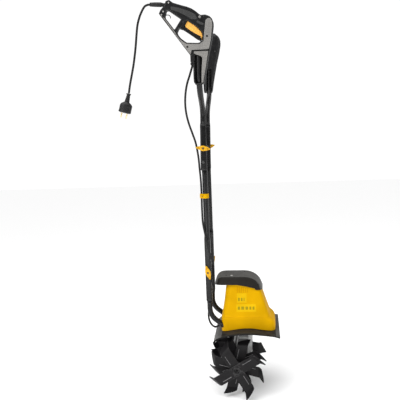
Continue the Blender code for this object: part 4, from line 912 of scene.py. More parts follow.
# domed rivets through the overlapping tube ends, below the upper wing nuts
for side, sy in (("right", -1.0), ("left", 1.0)):
    yf = sy * (TUBE_Y_UP + FLAT_B)
    xr = TUBE_X + (0.8948 - UPPER_PIVOT_Z) * UPPER_LEAN
    finish("end_rivet_" + side,
           lathe([(0, yf - sy * 0.0004), (0.0054, yf - sy * 0.0004), (0.0054, yf + sy * 0.0008), (0.0045, yf + sy * 0.0012), (0.0041, yf + sy * 0.0028),
                  (0.0027, yf + sy * 0.0038), (0, yf + sy * 0.0041)], (xr, 0, 0.8948), "Y", 36), "blackbolt", "upper_handle")

# ------------------------------------------------- bolts and wing nuts
BOLT_R = 0.0030
GAP = 0.0003
JOINTS = (("lower", LOWER_PIVOT_Z, TUBE_Y_LOW, TUBE_Y_MID, "middle_handle"),
          ("upper", UPPER_PIVOT_Z, TUBE_Y_MID, TUBE_Y_UP, "upper_handle"))
WING_TILT = {("upper", "right"): 98.4, ("upper", "left"): 78.0, ("lower", "right"): 163.7, ("lower", "left"): 28.0}
for jn, pz, yi, yo, par in JOINTS:
    for side, sy in (("right", -1.0), ("left", 1.0)):
        a = yi - FLAT_B - GAP
        b = yo + FLAT_B + 0.0150
        bm = bmesh.new()
        rings = []
        c0 = Vector((TUBE_X, 0, pz))
        ux, uz = Vector((1, 0, 0)), Vector((0, 0, 1))
        for r, hgt, hexa in ((0.0040, a - 0.0046, 1), (0.0058, a - 0.0046, 1), (0.0064, a - 0.0041, 1), (0.0066, a - 0.0012, 1),
                             (0.0075, a - 0.0010, 0), (0.0078, a - 0.0006, 0), (0.0078, a - 0.0001, 0), (BOLT_R, a, 0),
                             (BOLT_R, b - 0.0006, 0), (BOLT_R - 0.0006, b, 0), (0.0012, b, 0)):
            pts = []
            for k in range(36):
                t = 2 * math.pi * k / 36
                rr = r
                if hexa:
                    m = (t % (math.pi / 3)) - math.pi / 6
                    rr = r * math.cos(math.pi / 6) / math.cos(m) * 1.03
                pts.append(c0 + Vector((0, sy * hgt, 0)) + (ux * math.cos(t) + uz * math.sin(t)) * rr)
            rings.append(pts)
        loft(bm, rings)
        finish("bolt_%s_%s_fine" % (jn, side), bm, "blackbolt", par, "bolt_%s_%s" % (jn, side), 30.0)

        # wing nut: a lens-shaped bar with a raised turned hub and a pressed rim
        body = "nut_%s_%s" % (jn, side)
        y_face = yo + FLAT_B + GAP
        tilt = -math.radians(WING_TILT[(jn, side)] - 90.0)
        half = []
        for k in range(41):
            f = k / 40
            s = -0.0288 + 0.0576 * f
            half.append((s, 0.0100 * max(0.0, 1.0 - abs(s / 0.0288) ** 1.45) ** 0.9))
        outline = half + [(s, -t) for s, t in half[-2:0:-1]]
        outline = fillet(outline, 0.0012, 2)
        c, sn = math.cos(tilt), math.sin(tilt)

        def place(pts, k=1.0):
            return [(TUBE_X + (s * c - t * sn) * k, pz + (s * sn + t * c) * k) for s, t in pts]
        bm = rprism(place(outline), sy * (y_face + 0.0048), sy * (y_face + 0.0106), 0.0012, 0.0016, seg=4)
        wing = finish("wing_%s_%s" % (jn, side), bm, "nut", body, "wing_nut_%s_%s" % (jn, side), 50.0)
        cut(wing, rod((TUBE_X, sy * (y_face - 0.002), pz), (TUBE_X, sy * (y_face + 0.020), pz), 0.0060, 32))
        bm = lathe([(BOLT_R + 0.0003, sy * y_face), (0.0086, sy * y_face), (0.0090, sy * (y_face + 0.0006)),
                    (0.0086, sy * (y_face + 0.0100)), (0.0082, sy * (y_face + 0.0122)), (0.0074, sy * (y_face + 0.0133)),
                    (0.0062, sy * (y_face + 0.0136)), (0.0054, sy * (y_face + 0.0132)), (0.0048, sy * (y_face + 0.0116)),
                    (BOLT_R + 0.0003, sy * (y_face + 0.0114))], (TUBE_X, 0, pz), "Y", 40)
        finish("wing_hub_%s_%s" % (jn, side), bm, "nut", body)
        # short finger ribs on each wing
        bm = bmesh.new()
        for s0 in (-0.0205, -0.0175, -0.0145, 0.0145, 0.0175, 0.0205):
            t0 = 0.0092 * (1.0 - (s0 / 0.0288) ** 2) ** 0.8 * 0.62
            rib = fillet([(s0 - 0.0005, -t0), (s0 + 0.0005, -t0), (s0 + 0.0005, t0), (s0 - 0.0005, t0)], 0.0004, 3)
            rprism(place(rib), sy * (y_face + 0.0098), sy * (y_face + 0.0112), 0.0, 0.0003, seg=2, bm=bm)
        finish("wing_ribs_%s_%s" % (jn, side), bm, "nut", body)

# -------------------------------------------------------------- cable clip
CLIP_Z0, CLIP_Z1 = 0.7590, 0.7762
CL_R = TUBE_R + GAP
y = -TUBE_Y_MID
clip_pts = []
for k in range(61):
    an = math.radians(-155.0 + 310.0 * k / 60)
    clip_pts.append(((CL_R + 0.0022) * math.cos(an), (CL_R + 0.0022) * math.sin(an)))
cable_c = (-CL_R - CABLE_R - 0.0008, 0.0)
for k in range(25):
    an = math.radians(125.0 + 110.0 * k / 24)
    clip_pts.append((cable_c[0] + (CABLE_R + 0.0028) * math.cos(an), (CABLE_R + 0.0028) * math.sin(an)))
bm = bmesh.new()
rings = []
for d, z in ((0.0006, CLIP_Z0), (0.0002, CLIP_Z0 + 0.0002), (0.0, CLIP_Z0 + 0.0006), (0.0, CLIP_Z1 - 0.0006),
             (0.0002, CLIP_Z1 - 0.0002), (0.0006, CLIP_Z1)):
    rings.append([(TUBE_X + px, y + py, z) for px, py in offset(clip_pts, d)])
loft(bm, rings)
clip = finish("clip_body", bm, "yellow", "middle_handle", "cable_clip")
cut(clip, rod((TUBE_X, y, CLIP_Z0 - 0.005), (TUBE_X, y, CLIP_Z1 + 0.005), CL_R, 56))
cut(clip, rod((TUBE_X + cable_c[0], y, CLIP_Z0 - 0.005), (TUBE_X + cable_c[0], y, CLIP_Z1 + 0.005), CABLE_R + 0.0007, 32))
bm = bmesh.new()
for s in (-1, 1):
    spark(bm, (TUBE_X - 0.0122, y + s * 0.0090, (CLIP_Z0 + CLIP_Z1) / 2), (0, s, 0), 0.0022)
finish("clip_rivets", bm, "blackbolt", "middle_handle")

# ---------------------------------------------------------- motor housing
HOUSE_WALL = 0.0028
HOUSING_ROWS = [
    (0.2700, -0.0585, 0.1500, 0.0835), (0.2820, -0.0585, 0.1445, 0.0832), (0.2905, -0.0580, 0.1335, 0.0828),
    (0.2960, -0.0572, 0.1295, 0.0820), (0.3030, -0.0535, 0.1270, 0.0785), (0.3300, -0.0495, 0.1180, 0.0745),
    (0.3600, -0.0440, 0.1085, 0.0700), (0.3880, -0.0402, 0.1000, 0.0648), (0.4060, -0.0385, 0.0960, 0.0605)]
HOUSING_FOOT = [(-0.0562, 0.2402), (-0.030, 0.2463), (0.0, 0.2518), (0.030, 0.2553),
                (0.060, 0.2553), (0.097, 0.2498), (0.130, 0.2456), (0.150, 0.2434)]
RIM = [(-0.0850, 0.4205), (0.0060, 0.4212), (0.0400, 0.4150), (0.0730, 0.4070), (0.0765, 0.4005), (0.1050, 0.3988)]


def sring(x0, x1, w, n, power, zf):
    """Superellipse ring, evenly spread points, at height zf(x, y)."""
    cx, a = (x0 + x1) / 2, (x1 - x0) / 2
    e = 2.0 / power
    dense = []
    m = 720
    for k in range(m):
        t = 2 * math.pi * k / m
        c, s = math.cos(t), math.sin(t)
        dense.append((cx + a * math.copysign(abs(c) ** e, c), w * math.copysign(abs(s) ** e, s)))
    acc = [0.0]
    for k in range(m):
        p, q = dense[k], dense[(k + 1) % m]
        acc.append(acc[-1] + math.hypot(q[0] - p[0], q[1] - p[1]))
    out, k = [], 0
    for i in range(n):
        s = acc[-1] * i / n
        while acc[k + 1] < s:
            k += 1
        f = (s - acc[k]) / max(acc[k + 1] - acc[k], 1e-12)
        p, q = dense[k], dense[(k + 1) % m]
        x, y = p[0] + (q[0] - p[0]) * f, p[1] + (q[1] - p[1]) * f
        out.append((x, y, zf(x, y)))
    return out


def row_at(z):
    """Rear X, front X and half width of the housing at a height, corners eased."""
    vals = []
    for c in (1, 2, 3):
        t = [(r[0], r[c]) for r in HOUSING_ROWS]
        vals.append(sum(lerp_table(t, z + 0.0022 * k / 3) for k in range(-3, 4)) / 7.0)
    return vals


def foot(x, y):
    return smooth_table(HOUSING_FOOT, x)


def rim_z(x, y):
    return sum(lerp_table(RIM, x + 0.0012 * k / 3) for k in range(-3, 4)) / 7.0


def housing_shell(inset, n=128):
    rows = []
    x0, x1, w = -0.0585 + inset, 0.1490 - inset, 0.0834 - inset
    if inset == 0.0:
        rows.append(sring(x0 + 0.0008, x1 - 0.0008, w - 0.0008, n, 7.0, lambda x, y: foot(x, y)))
    rows.append(sring(x0, x1, w, n, 7.0, lambda x, y: foot(x, y) + (0.0008 if inset == 0.0 else 0.0)))
    z = 0.2700
    zs = [0.2640] + [0.2700 + 0.0025 * k for k in range(15)] + [0.3100 + 0.0060 * k for k in range(16)]
    for z in zs:
        a, b, w = row_at(z)
        if z < 0.2700:
            # the belt between the curved foot and the first level row
            rows.append(sring(a + inset, b + inset * 0 - inset, w - inset, n, 7.0,
                              lambda x, y: foot(x, y) * 0.35 + 0.2655 * 0.65))
            continue
        rows.append(sring(a + inset, b - inset, w - inset, n, 7.0,
                          lambda x, y, z=z: min(z, rim_z(x, y) + 0.0038) if z > 0.395 else z))
    rows.append(sring(-0.0340 + inset, 0.0935 - inset, 0.0575 - inset, n, 5.0, lambda x, y: rim_z(x, y) + 0.0045))
    return rows


bm = bmesh.new()
outer, inner = housing_shell(0.0), housing_shell(HOUSE_WALL)
loft(bm, outer + inner[::-1], close=True)
housing = finish("housing_shell", bm, "yellow", "base", "motor_housing", 30.0)
for side, sy in (("right", -1.0), ("left", 1.0)):
    y = sy * TUBE_Y_LOW
    bm = bmesh.new()
    pts = [Vector((x, y, z)) for x, z in LOW_FINE[66:]]
    loft(bm, [[p + (Vector((0, 1, 0)) * math.cos(2 * math.pi * k / 28)
                    + (pts[min(i + 1, len(pts) - 1)] - pts[max(i - 1, 0)]).normalized().cross(Vector((0, 1, 0)))
                    * math.sin(2 * math.pi * k / 28)) * (TUBE_R + 0.0006) for k in range(28)] for i, p in enumerate(pts)])
    cut(housing, bm, smooth=30.0)
cut(housing, rod((-0.070, -0.0440, 0.2550), (-0.030, -0.0440, 0.2550), 0.0064, 28), smooth=30.0)


def patch(name, host, outline, y_from, direction, height, mat, body, step=0.0016, ease=0.0004, sink=0.0006, smooth=50.0):
    """Thin plate with an (x, z) outline, laid on a host's side surface."""
    dg = bpy.context.evaluated_depsgraph_get()
    dg.update()
    xs = [p[0] for p in outline]
    zs = [p[1] for p in outline]
    loops = [offset(outline, d) for d in (0.0, 0.0, ease * 0.3, ease, ease * 2.0)]
    lift = [-sink, height - ease, height - ease * 0.3, height, height]

    def on(x, z):
        hit, loc, nor, idx = host.ray_cast(Vector((x, y_from, z)) - G, Vector((0, direction, 0)))
        return (loc + G).y if hit else None
    bm = bmesh.new()
    rings = []
    for lp, lf in zip(loops, lift):
        ring = []
        for x, z in lp:
            yy = on(x, z)
            if yy is None:
                yy = y_from
            ring.append(bm.verts.new((x, yy - direction * lf, z)))
        rings.append(ring)
    n = len(outline)
    for a, b in zip(rings, rings[1:]):
        for i in range(n):
            j = (i + 1) % n
            bm.faces.new((a[i], a[j], b[j], b[i]))
    # inside of the top: a triangulated grid laid on the surface
    top = loops[-1]
    pts = [tuple(p) for p in top]
    inner_pts = []
    sgn = 1.0 if area2(top) > 0 else -1.0

    def inside(px, pz):
        ok = False
        for i in range(len(top)):
            x0, z0 = top[i]
            x1, z1 = top[(i + 1) % len(top)]
            if (z0 > pz) != (z1 > pz) and px < (x1 - x0) * (pz - z0) / (z1 - z0) + x0:
                ok = not ok
        return ok
    small = offset(top, step * 0.6)
    x = min(xs) + step
    while x < max(xs):
        z = min(zs) + step
        while z < max(zs):
            d = min((Vector((x, z)) - Vector(p)).length for p in top)
            if inside(x, z) and d > step * 0.6:
                inner_pts.append((x, z))
            z += step
        x += step
    from mathutils.geometry import delaunay_2d_cdt
    allp = [Vector(p) for p in pts + inner_pts]
    edges = [(i, (i + 1) % len(pts)) for i in range(len(pts))]
    res = delaunay_2d_cdt(allp, edges, [], 1, 1e-7)
    vmap = {}
    for i, ids in enumerate(res[3]):
        src = ids[0] if ids else None
        co = res[0][i]
        if src is not None and src < len(pts):
            vmap[i] = rings[-1][src]
        else:
            yy = on(co.x, co.y)
            vmap[i] = bm.verts.new((co.x, (yy if yy is not None else y_from) - direction * height, co.y))
    for f in res[2]:
        try:
            bm.faces.new([vmap[i] for i in f])
        except ValueError:
            pass
    bm.faces.new(rings[0][::-1])
    return finish(name, bm, mat, body, smooth=smooth)


def rounded_rect(x0, x1, z0, z1, r, n=6):
    return fillet([(x0, z0), (x1, z0), (x1, z1), (x0, z1)], r, n)


# plain print-free label with a row of blank bars, on the right side
bm_parts = []
patch("side_label", housing, rounded_rect(0.0020, 0.0770, 0.3185, 0.3475, 0.0030), -0.12, 1.0, 0.0003, "label", "base")
for i, (a, b) in enumerate(((0.0060, 0.0170), (0.0195, 0.0330), (0.0355, 0.0480), (0.0505, 0.0600), (0.0625, 0.0720))):
    patch("label_bar_%d" % (i + 1), housing, rounded_rect(a + 0.0012, b - 0.0012, 0.3270, 0.3385, 0.0010, 3), -0.12, 1.0, 0.0006, "label_dark", "base")
patch("upper_label", housing, rounded_rect(0.0050, 0.0420, 0.3530, 0.3880, 0.0030), -0.12, 1.0, 0.0003, "label", "base")
for i, (a, b) in enumerate(((0.0085, 0.0165), (0.0190, 0.0270), (0.0295, 0.0345))):
    patch("label_mark_%d" % (i + 1), housing, rounded_rect(a + 0.0010, b - 0.0010, 0.3590, 0.3715, 0.0010, 3), -0.12, 1.0, 0.0006, "label_dark", "base")
# shallow vertical grip ribs under the cover, both sides
# The ribs and the belt take the darker copy of the housing yellow: painted shade.
for sy, sd in ((-1.0, "right"), (1.0, "left")):
    for i in range(6):
        x = 0.0060 + 0.0078 * i
        patch("rib_%s_%d" % (sd, i + 1), housing, rounded_rect(x, x + 0.0028, 0.3900, 0.4130 - 0.0012 * i, 0.0012, 4),
              sy * 0.12, -sy, 0.0006, "yellow_painted_shade", "base")
    # raised belt low on the housing
    patch("belt_" + sd, housing, rounded_rect(-0.0470, 0.1235, 0.2962, 0.2990, 0.0010, 3), sy * 0.12, -sy, 0.0006, "yellow_painted_shade", "base")

# ------------------------------------------------------------ motor cover
ROOF = [(-0.0800, 0.4300), (-0.0745, 0.4370), (-0.0680, 0.4432), (-0.0590, 0.4478), (-0.0450, 0.4495), (0.0330, 0.4495),
        (0.0500, 0.4476), (0.0660, 0.4422), (0.0800, 0.4338), (0.0900, 0.4245), (0.0985, 0.4140), (0.1040, 0.4060)]


def cover_shell(t, n=144):
    """Wall rows climbing from the rim to a sharp crease, then a roof that
    falls away over the nose and the tail."""
    rows = []
    for f in (0.0, 0.06, 0.18, 0.34, 0.50, 0.66, 0.80, 0.91, 0.97, 1.0):
        e = max(0.0, (f - 0.80) / 0.20) ** 2
        x0 = -0.0800 + 0.0030 * f + 0.0008 * e + t
        x1 = 0.1040 - 0.0050 * f - 0.0010 * e - t
        w = 0.0662 - 0.0110 * f - 0.0012 * e - t
        rows.append(sring(x0, x1, w, n, 6.0,
                          lambda x, y, f=f: rim_z(x, y) + f * (max(rim_z(x, y) + 0.006, smooth_table(ROOF, x)) - rim_z(x, y) - t * 0.9)))
    top = rows[-1]
    cx = 0.0080
    for k in (0.985, 0.95, 0.90, 0.80, 0.68, 0.54, 0.40, 0.26, 0.12):
        row = []
        for x, y, z in top:
            xx, yy = cx + (x - cx) * k, y * k
            row.append((xx, yy, smooth_table(ROOF, xx) + 0.0006 * (1 - k) - t * 0.9))
        rows.append(row)
    return rows


def centre_disc(bm, ring, steps=5):
    """Close a nearly flat ring with shrinking rings and a last small face."""
    c = Vector((0, 0, 0))
    for v in ring:
        c += v.co
    c /= len(ring)
    prev = ring
    for k in range(1, steps):
        f = 1.0 - k / steps
        cur = [bm.verts.new(c + (v.co - c) * f) for v in ring]
        n = len(ring)
        for i in range(n):
            j = (i + 1) % n
            bm.faces.new((prev[i], prev[j], cur[j], cur[i]))
        prev = cur
    top = bm.verts.new(c)
    n = len(prev)
    for i in range(n):
        bm.faces.new((prev[i], prev[(i + 1) % n], top))


bm = bmesh.new()
outer, inner = cover_shell(0.0), cover_shell(0.0030)
vs = loft(bm, outer[::-1] + inner, close=False, cap=False)
centre_disc(bm, vs[0])
centre_disc(bm, vs[-1])
cover = finish("cover_shell", bm, "painted_shade_wall", "base", "motor_cover", 24.0)
# Faces that look up take the lighter copy: painted light on the roof, painted shade on the walls.
cover.data.materials.append(M["painted_lit_roof"])
for p in cover.data.polygons:
    if abs(p.normal.y) < 0.72 and p.normal.z > 0.05:
        p.material_index = 1
# small pale disc on the cover top, a painted highlight, and two cover screws
bm = bmesh.new()
lathe([(0, 0.4480), (0.0048, 0.4480), (0.0048, 0.4498), (0.0042, 0.4504), (0, 0.4505)], (-0.0150, -0.0300, 0), "Z", 32, bm)
finish("roof_painted_highlight", bm, "pale", "base")
bm = bmesh.new()
for x, y in ((-0.036, 0.030), (0.034, 0.030), (-0.036, -0.030)):
    spark(bm, (x, y, 0.4492), (0, 0, 1), 0.0030)
finish("cover_screws", bm, "blackbolt", "base")
# air slots under the rear overhang: thin bars between rim and housing
bm = bmesh.new()
for k in range(9):
    yv = -0.040 + 0.010 * k
    bm2 = box(-0.0745, -0.0375, yv - 0.0012, yv + 0.0012, 0.4262, 0.4290, bm)
finish("air_slats", bm, "dark", "base")

# -------------------------------------------------------------- tine guard
GUARD_TOP = [(-0.0848, 0.2227), (-0.0672, 0.2358), (-0.0428, 0.2425), (-0.0163, 0.2485), (0.0226, 0.2525),
             (0.0600, 0.2532), (0.0900, 0.2495), (0.1170, 0.2462), (0.1401, 0.2442), (0.1640, 0.2405)]
GUARD_FOOT = [(-0.0848, 0.2142), (-0.0672, 0.2282), (-0.0428, 0.2364), (-0.0163, 0.2425), (0.0226, 0.2462),
              (0.0600, 0.2470), (0.0900, 0.2445), (0.1170, 0.2418), (0.1401, 0.2390), (0.1640, 0.2330)]
GUARD_Y = 0.1330
GUARD_T = 0.0026


def fine2(pts, per=6):
    return [(v.x, v.y) for v in catmull([Vector((a, b)) for a, b in pts], per)]


GT, GF = fine2(GUARD_TOP), fine2(GUARD_FOOT)
bm = rprism(GF + GT[::-1], -GUARD_Y, GUARD_Y, 0.0012, 0.0012, seg=3)
guard = finish("guard_sheet", bm, "guard", "base", "tine_guard", 30.0)
under = [(x, z - GUARD_T) for x, z in GT]
under[0] = (under[0][0] + GUARD_T, under[0][1] + 0.0008)
under[-1] = (under[-1][0] - GUARD_T, under[-1][1])
cut(guard, rprism(under + [(under[-1][0], 0.2000), (under[0][0], 0.2000)], -GUARD_Y + GUARD_T, GUARD_Y - GUARD_T), smooth=30.0)
cut(guard, box(-0.0420, 0.0640, -0.0430, 0.0430, 0.2300, 0.2700), smooth=30.0)
# Upward faces at the guard's ends take the lighter copy: painted light.
guard.data.materials.append(M["guard_painted_lit_top"])
for p in guard.data.polygons:
    if p.normal.z > 0.6 and not -0.056 < p.center.x + G.x < 0.149:
        p.material_index = 1
# ----------------------------------------------------------------- gearbox
TINE_Z = 0.110
MOTOR_X = 0.037
BOX_TOP = 0.2760
GB_R = 0.0360


def gearbox_outline():
    pts = []
    for k in range(41):
        an = math.radians(130.0 + 195.0 * k / 40)
        pts.append((GB_R * math.cos(an), TINE_Z + GB_R * math.sin(an)))
    tail = [(0.0500, 0.0930), (0.0570, 0.1020), (0.0585, 0.2000), (0.0615, 0.2300), (0.0615, BOX_TOP),
            (0.0125, BOX_TOP), (0.0125, 0.2440), (-0.0060, 0.2330), (-0.0104, 0.2045), (-0.0180, 0.1600)]
    radii = [0.002] * len(pts) + [0.006, 0.004, 0.05, 0.02, 0.001, 0.001, 0.004, 0.006, 0.05, 0.05]
    return fillet(pts + tail, radii, 4)


GBO = gearbox_outline()
for side, sy in (("right", -1.0), ("left", 1.0)):
    bm = rprism(GBO, sy * GAP / 2, sy * 0.0360, 0.0003, 0.0028, seg=4)
    # The case halves take the near-black copy: painted shade in the recesses between the ribs.
    half = finish("gear_case_" + side, bm, "cast_painted_shade", "base", "gearbox_" + side, 35.0)
    cut(half, box(-0.0500, 0.0800, sy * 0.0300, sy * 0.0450, 0.1520, 0.2850))
    cut(half, rod((0, -sy * 0.002, TINE_Z), (0, sy * 0.0145, TINE_Z), 0.0328, 56))
    cut(half, rod((MOTOR_X, 0, 0.0980), (MOTOR_X, 0, 0.2560), 0.0108, 36))
    cut(half, rod((MOTOR_X, 0, 0.2500), (MOTOR_X, 0, 0.2900), 0.0133, 36))
    cut(half, rod((0, sy * 0.0100, TINE_Z), (0, sy * 0.0400, TINE_Z), 0.0143, 40))
    # The ribs and the boss take the bright casting: painted light on their raised faces.
    # ribs cast on the neck's side: a broad front rib, a double rear rib, a cross rib
    def rib(tag, pts, r, y0, y1, rr):
        finish("case_%s_%s" % (tag, side), rprism(fillet(pts, r, 4), sy * y0, sy * y1, 0.0, rr, seg=3), "cast", "base")
    rib("rib_front", [(0.0361, 0.1210), (0.0536, 0.1210), (0.0560, 0.1500), (0.0578, 0.2000), (0.0600, 0.2300), (0.0600, 0.2740),
                      (0.0440, 0.2740), (0.0430, 0.2300), (0.0412, 0.1792)], 0.003, 0.0295, 0.0374, 0.0014)
    rib("rib_rear_a", [(-0.0238, 0.1400), (-0.0196, 0.1400), (-0.0056, 0.2045), (-0.0010, 0.2300), (-0.0052, 0.2318), (-0.0098, 0.2045)],
        0.0010, 0.0295, 0.0374, 0.0012)
    rib("rib_rear_b", [(-0.0130, 0.1400), (-0.0090, 0.1400), (0.0064, 0.2073), (0.0120, 0.2440), (0.0150, 0.2740), (0.0126, 0.2740),
                       (0.0080, 0.2440), (0.0024, 0.2073)], 0.0010, 0.0295, 0.0368, 0.0012)
    rib("rib_cross", [(0.0060, 0.1960), (0.0430, 0.1960), (0.0430, 0.2045), (0.0080, 0.2045)], 0.0012, 0.0295, 0.0345, 0.0010)
    # bearing boss round the tine shaft
    finish("case_boss_" + side,
           lathe([(0.0145, sy * 0.0350), (0.0225, sy * 0.0350), (0.0222, sy * 0.0372), (0.0214, sy * 0.0382), (0.0150, sy * 0.0384),
                  (0.0145, sy * 0.0378)], (0, 0, TINE_Z), "Y", 56), "cast", "base")
    # flange screws round the case
    bm = bmesh.new()
    for ang, rr in ((105, 0.0305), (150, 0.0305), (195, 0.0305), (240, 0.0305), (285, 0.0305)):
        a = math.radians(ang)
        spark(bm, (rr * math.cos(a), sy * 0.0360, TINE_Z + rr * math.sin(a)), (0, sy, 0), 0.0028)
    finish("case_screws_" + side, bm, "zinc", "base")
    b, c = sy * 0.0150, sy * 0.0375
    finish("bushing_" + side, lathe([(0.0103, b), (0.0140, b), (0.0140, c - sy * 0.0006), (0.0134, c), (0.0109, c), (0.0103, c - sy * 0.0006)],
                                    (0, 0, TINE_Z), "Y", 48), "bronze", "base", "shaft_bushing_" + side)

finish("cable_gland", lathe([(0.0044, 0.0), (0.0064, 0.0), (0.0074, 0.0006), (0.0080, 0.0018), (0.0080, 0.0044), (0.0076, 0.0050),
                             (0.0062, 0.0052), (0.0060, 0.0058), (0.0060, 0.0140), (0.0044, 0.0140)], (-0.0615, -0.0440, 0.2550), "X", 40),
       "black", "base", "motor_cable_gland")

# -------------------------------------------------------------- tine rotor
STAR_Y = (0.060, 0.0975, 0.135)
STAR_PHASE = {"right": (22.0, -15.0, 31.0), "left": (6.0, -2.0, -10.0)}
BLADE_BEND = 54.0
BLADE_W = 0.0405
BLADE_T = 0.0030
SHAFT_R, SLEEVE_RI, SLEEVE_RO = 0.0100, 0.0105, 0.0142
bm = lathe([(0, -0.1360), (0.0070, -0.1360), (SHAFT_R - 0.001, -0.1358), (SHAFT_R, -0.1348), (SHAFT_R, 0.1348),
            (SHAFT_R - 0.001, 0.1358), (0.0070, 0.1360), (0, 0.1360)], (0, 0, TINE_Z), "Y", 48)
shaft = finish("rotor_shaft", bm, "hub", "tine_rotor", "tine_shaft")
for sy in (-1.0, 1.0):
    cut(shaft, rod((0, sy * 0.0770, TINE_Z - 0.03), (0, sy * 0.0770, TINE_Z + 0.03), 0.0034, 24))
    cut(shaft, lathe([(0, sy * 0.1400), (0.0050, sy * 0.1400), (0.0050, sy * 0.1330), (0.0034, sy * 0.1290), (0, sy * 0.1290)],
                     (0, 0, TINE_Z), "Y", 32))
for side, sy in (("right", -1.0), ("left", 1.0)):
    prof = [(SLEEVE_RI, 0.0410), (SLEEVE_RO - 0.0004, 0.0410), (SLEEVE_RO, 0.0414)]
    for ys in STAR_Y:
        a = ys - BLADE_T - 0.0012
        prof += [(SLEEVE_RO, a - 0.0048), (SLEEVE_RO + 0.0006, a - 0.0042), (0.0264, a - 0.0040), (0.0270, a - 0.0034),
                 (0.0270, a - 0.0004), (0.0266, a), (SLEEVE_RO, a)]
    prof += [(SLEEVE_RO, 0.1414), (SLEEVE_RO - 0.0006, 0.1420), (SLEEVE_RI + 0.0005, 0.1420), (SLEEVE_RI, 0.1415)]
    ob = finish("sleeve_" + side, lathe([(r, sy * h) for r, h in prof], (0, 0, TINE_Z), "Y", 48), "hub", "tine_rotor", "tine_sleeve_" + side)
    py = sy * 0.0770
    cut(ob, rod((0, py, TINE_Z - 0.03), (0, py, TINE_Z + 0.03), 0.0034, 24))
    bm = lathe([(0, -0.0200), (0.0018, -0.0200), (0.0028, -0.0192), (0.0030, -0.0184), (0.0030, 0.0160), (0.0048, 0.0160),
                (0.0052, 0.0164), (0.0052, 0.0182), (0.0046, 0.0190), (0, 0.0191)], (0, py, TINE_Z), "Z", 32)
    finish("hub_pin_" + side, bm, "zinc", "tine_rotor", "sleeve_pin_" + side)

FOLD_S = 0.0850
FOLD_SLOPE = 0.27
LEAD = [(FOLD_S + FOLD_SLOPE * BLADE_W / 2, BLADE_W / 2), (0.0985, 0.0208), (0.1080, 0.0222), (0.1190, 0.0242)]
TRAIL = [(FOLD_S - FOLD_SLOPE * BLADE_W / 2, -BLADE_W / 2), (0.0935, -0.0216), (0.1030, -0.0105), (0.1120, 0.0045),
         (0.1168, 0.0155), (0.1190, 0.0242)]
FOLD_N = Vector((1.0, -FOLD_SLOPE)).normalized()


def poly_at(pts, f):
    d = [0.0]
    for a, b in zip(pts, pts[1:]):
        d.append(d[-1] + math.hypot(b[0] - a[0], b[1] - a[1]))
    s = f * d[-1]
    for i in range(len(pts) - 1):
        if s <= d[i + 1] or i == len(pts) - 2:
            g = (s - d[i]) / (d[i + 1] - d[i])
            return Vector((pts[i][0] + (pts[i + 1][0] - pts[i][0]) * g, pts[i][1] + (pts[i + 1][1] - pts[i][1]) * g))


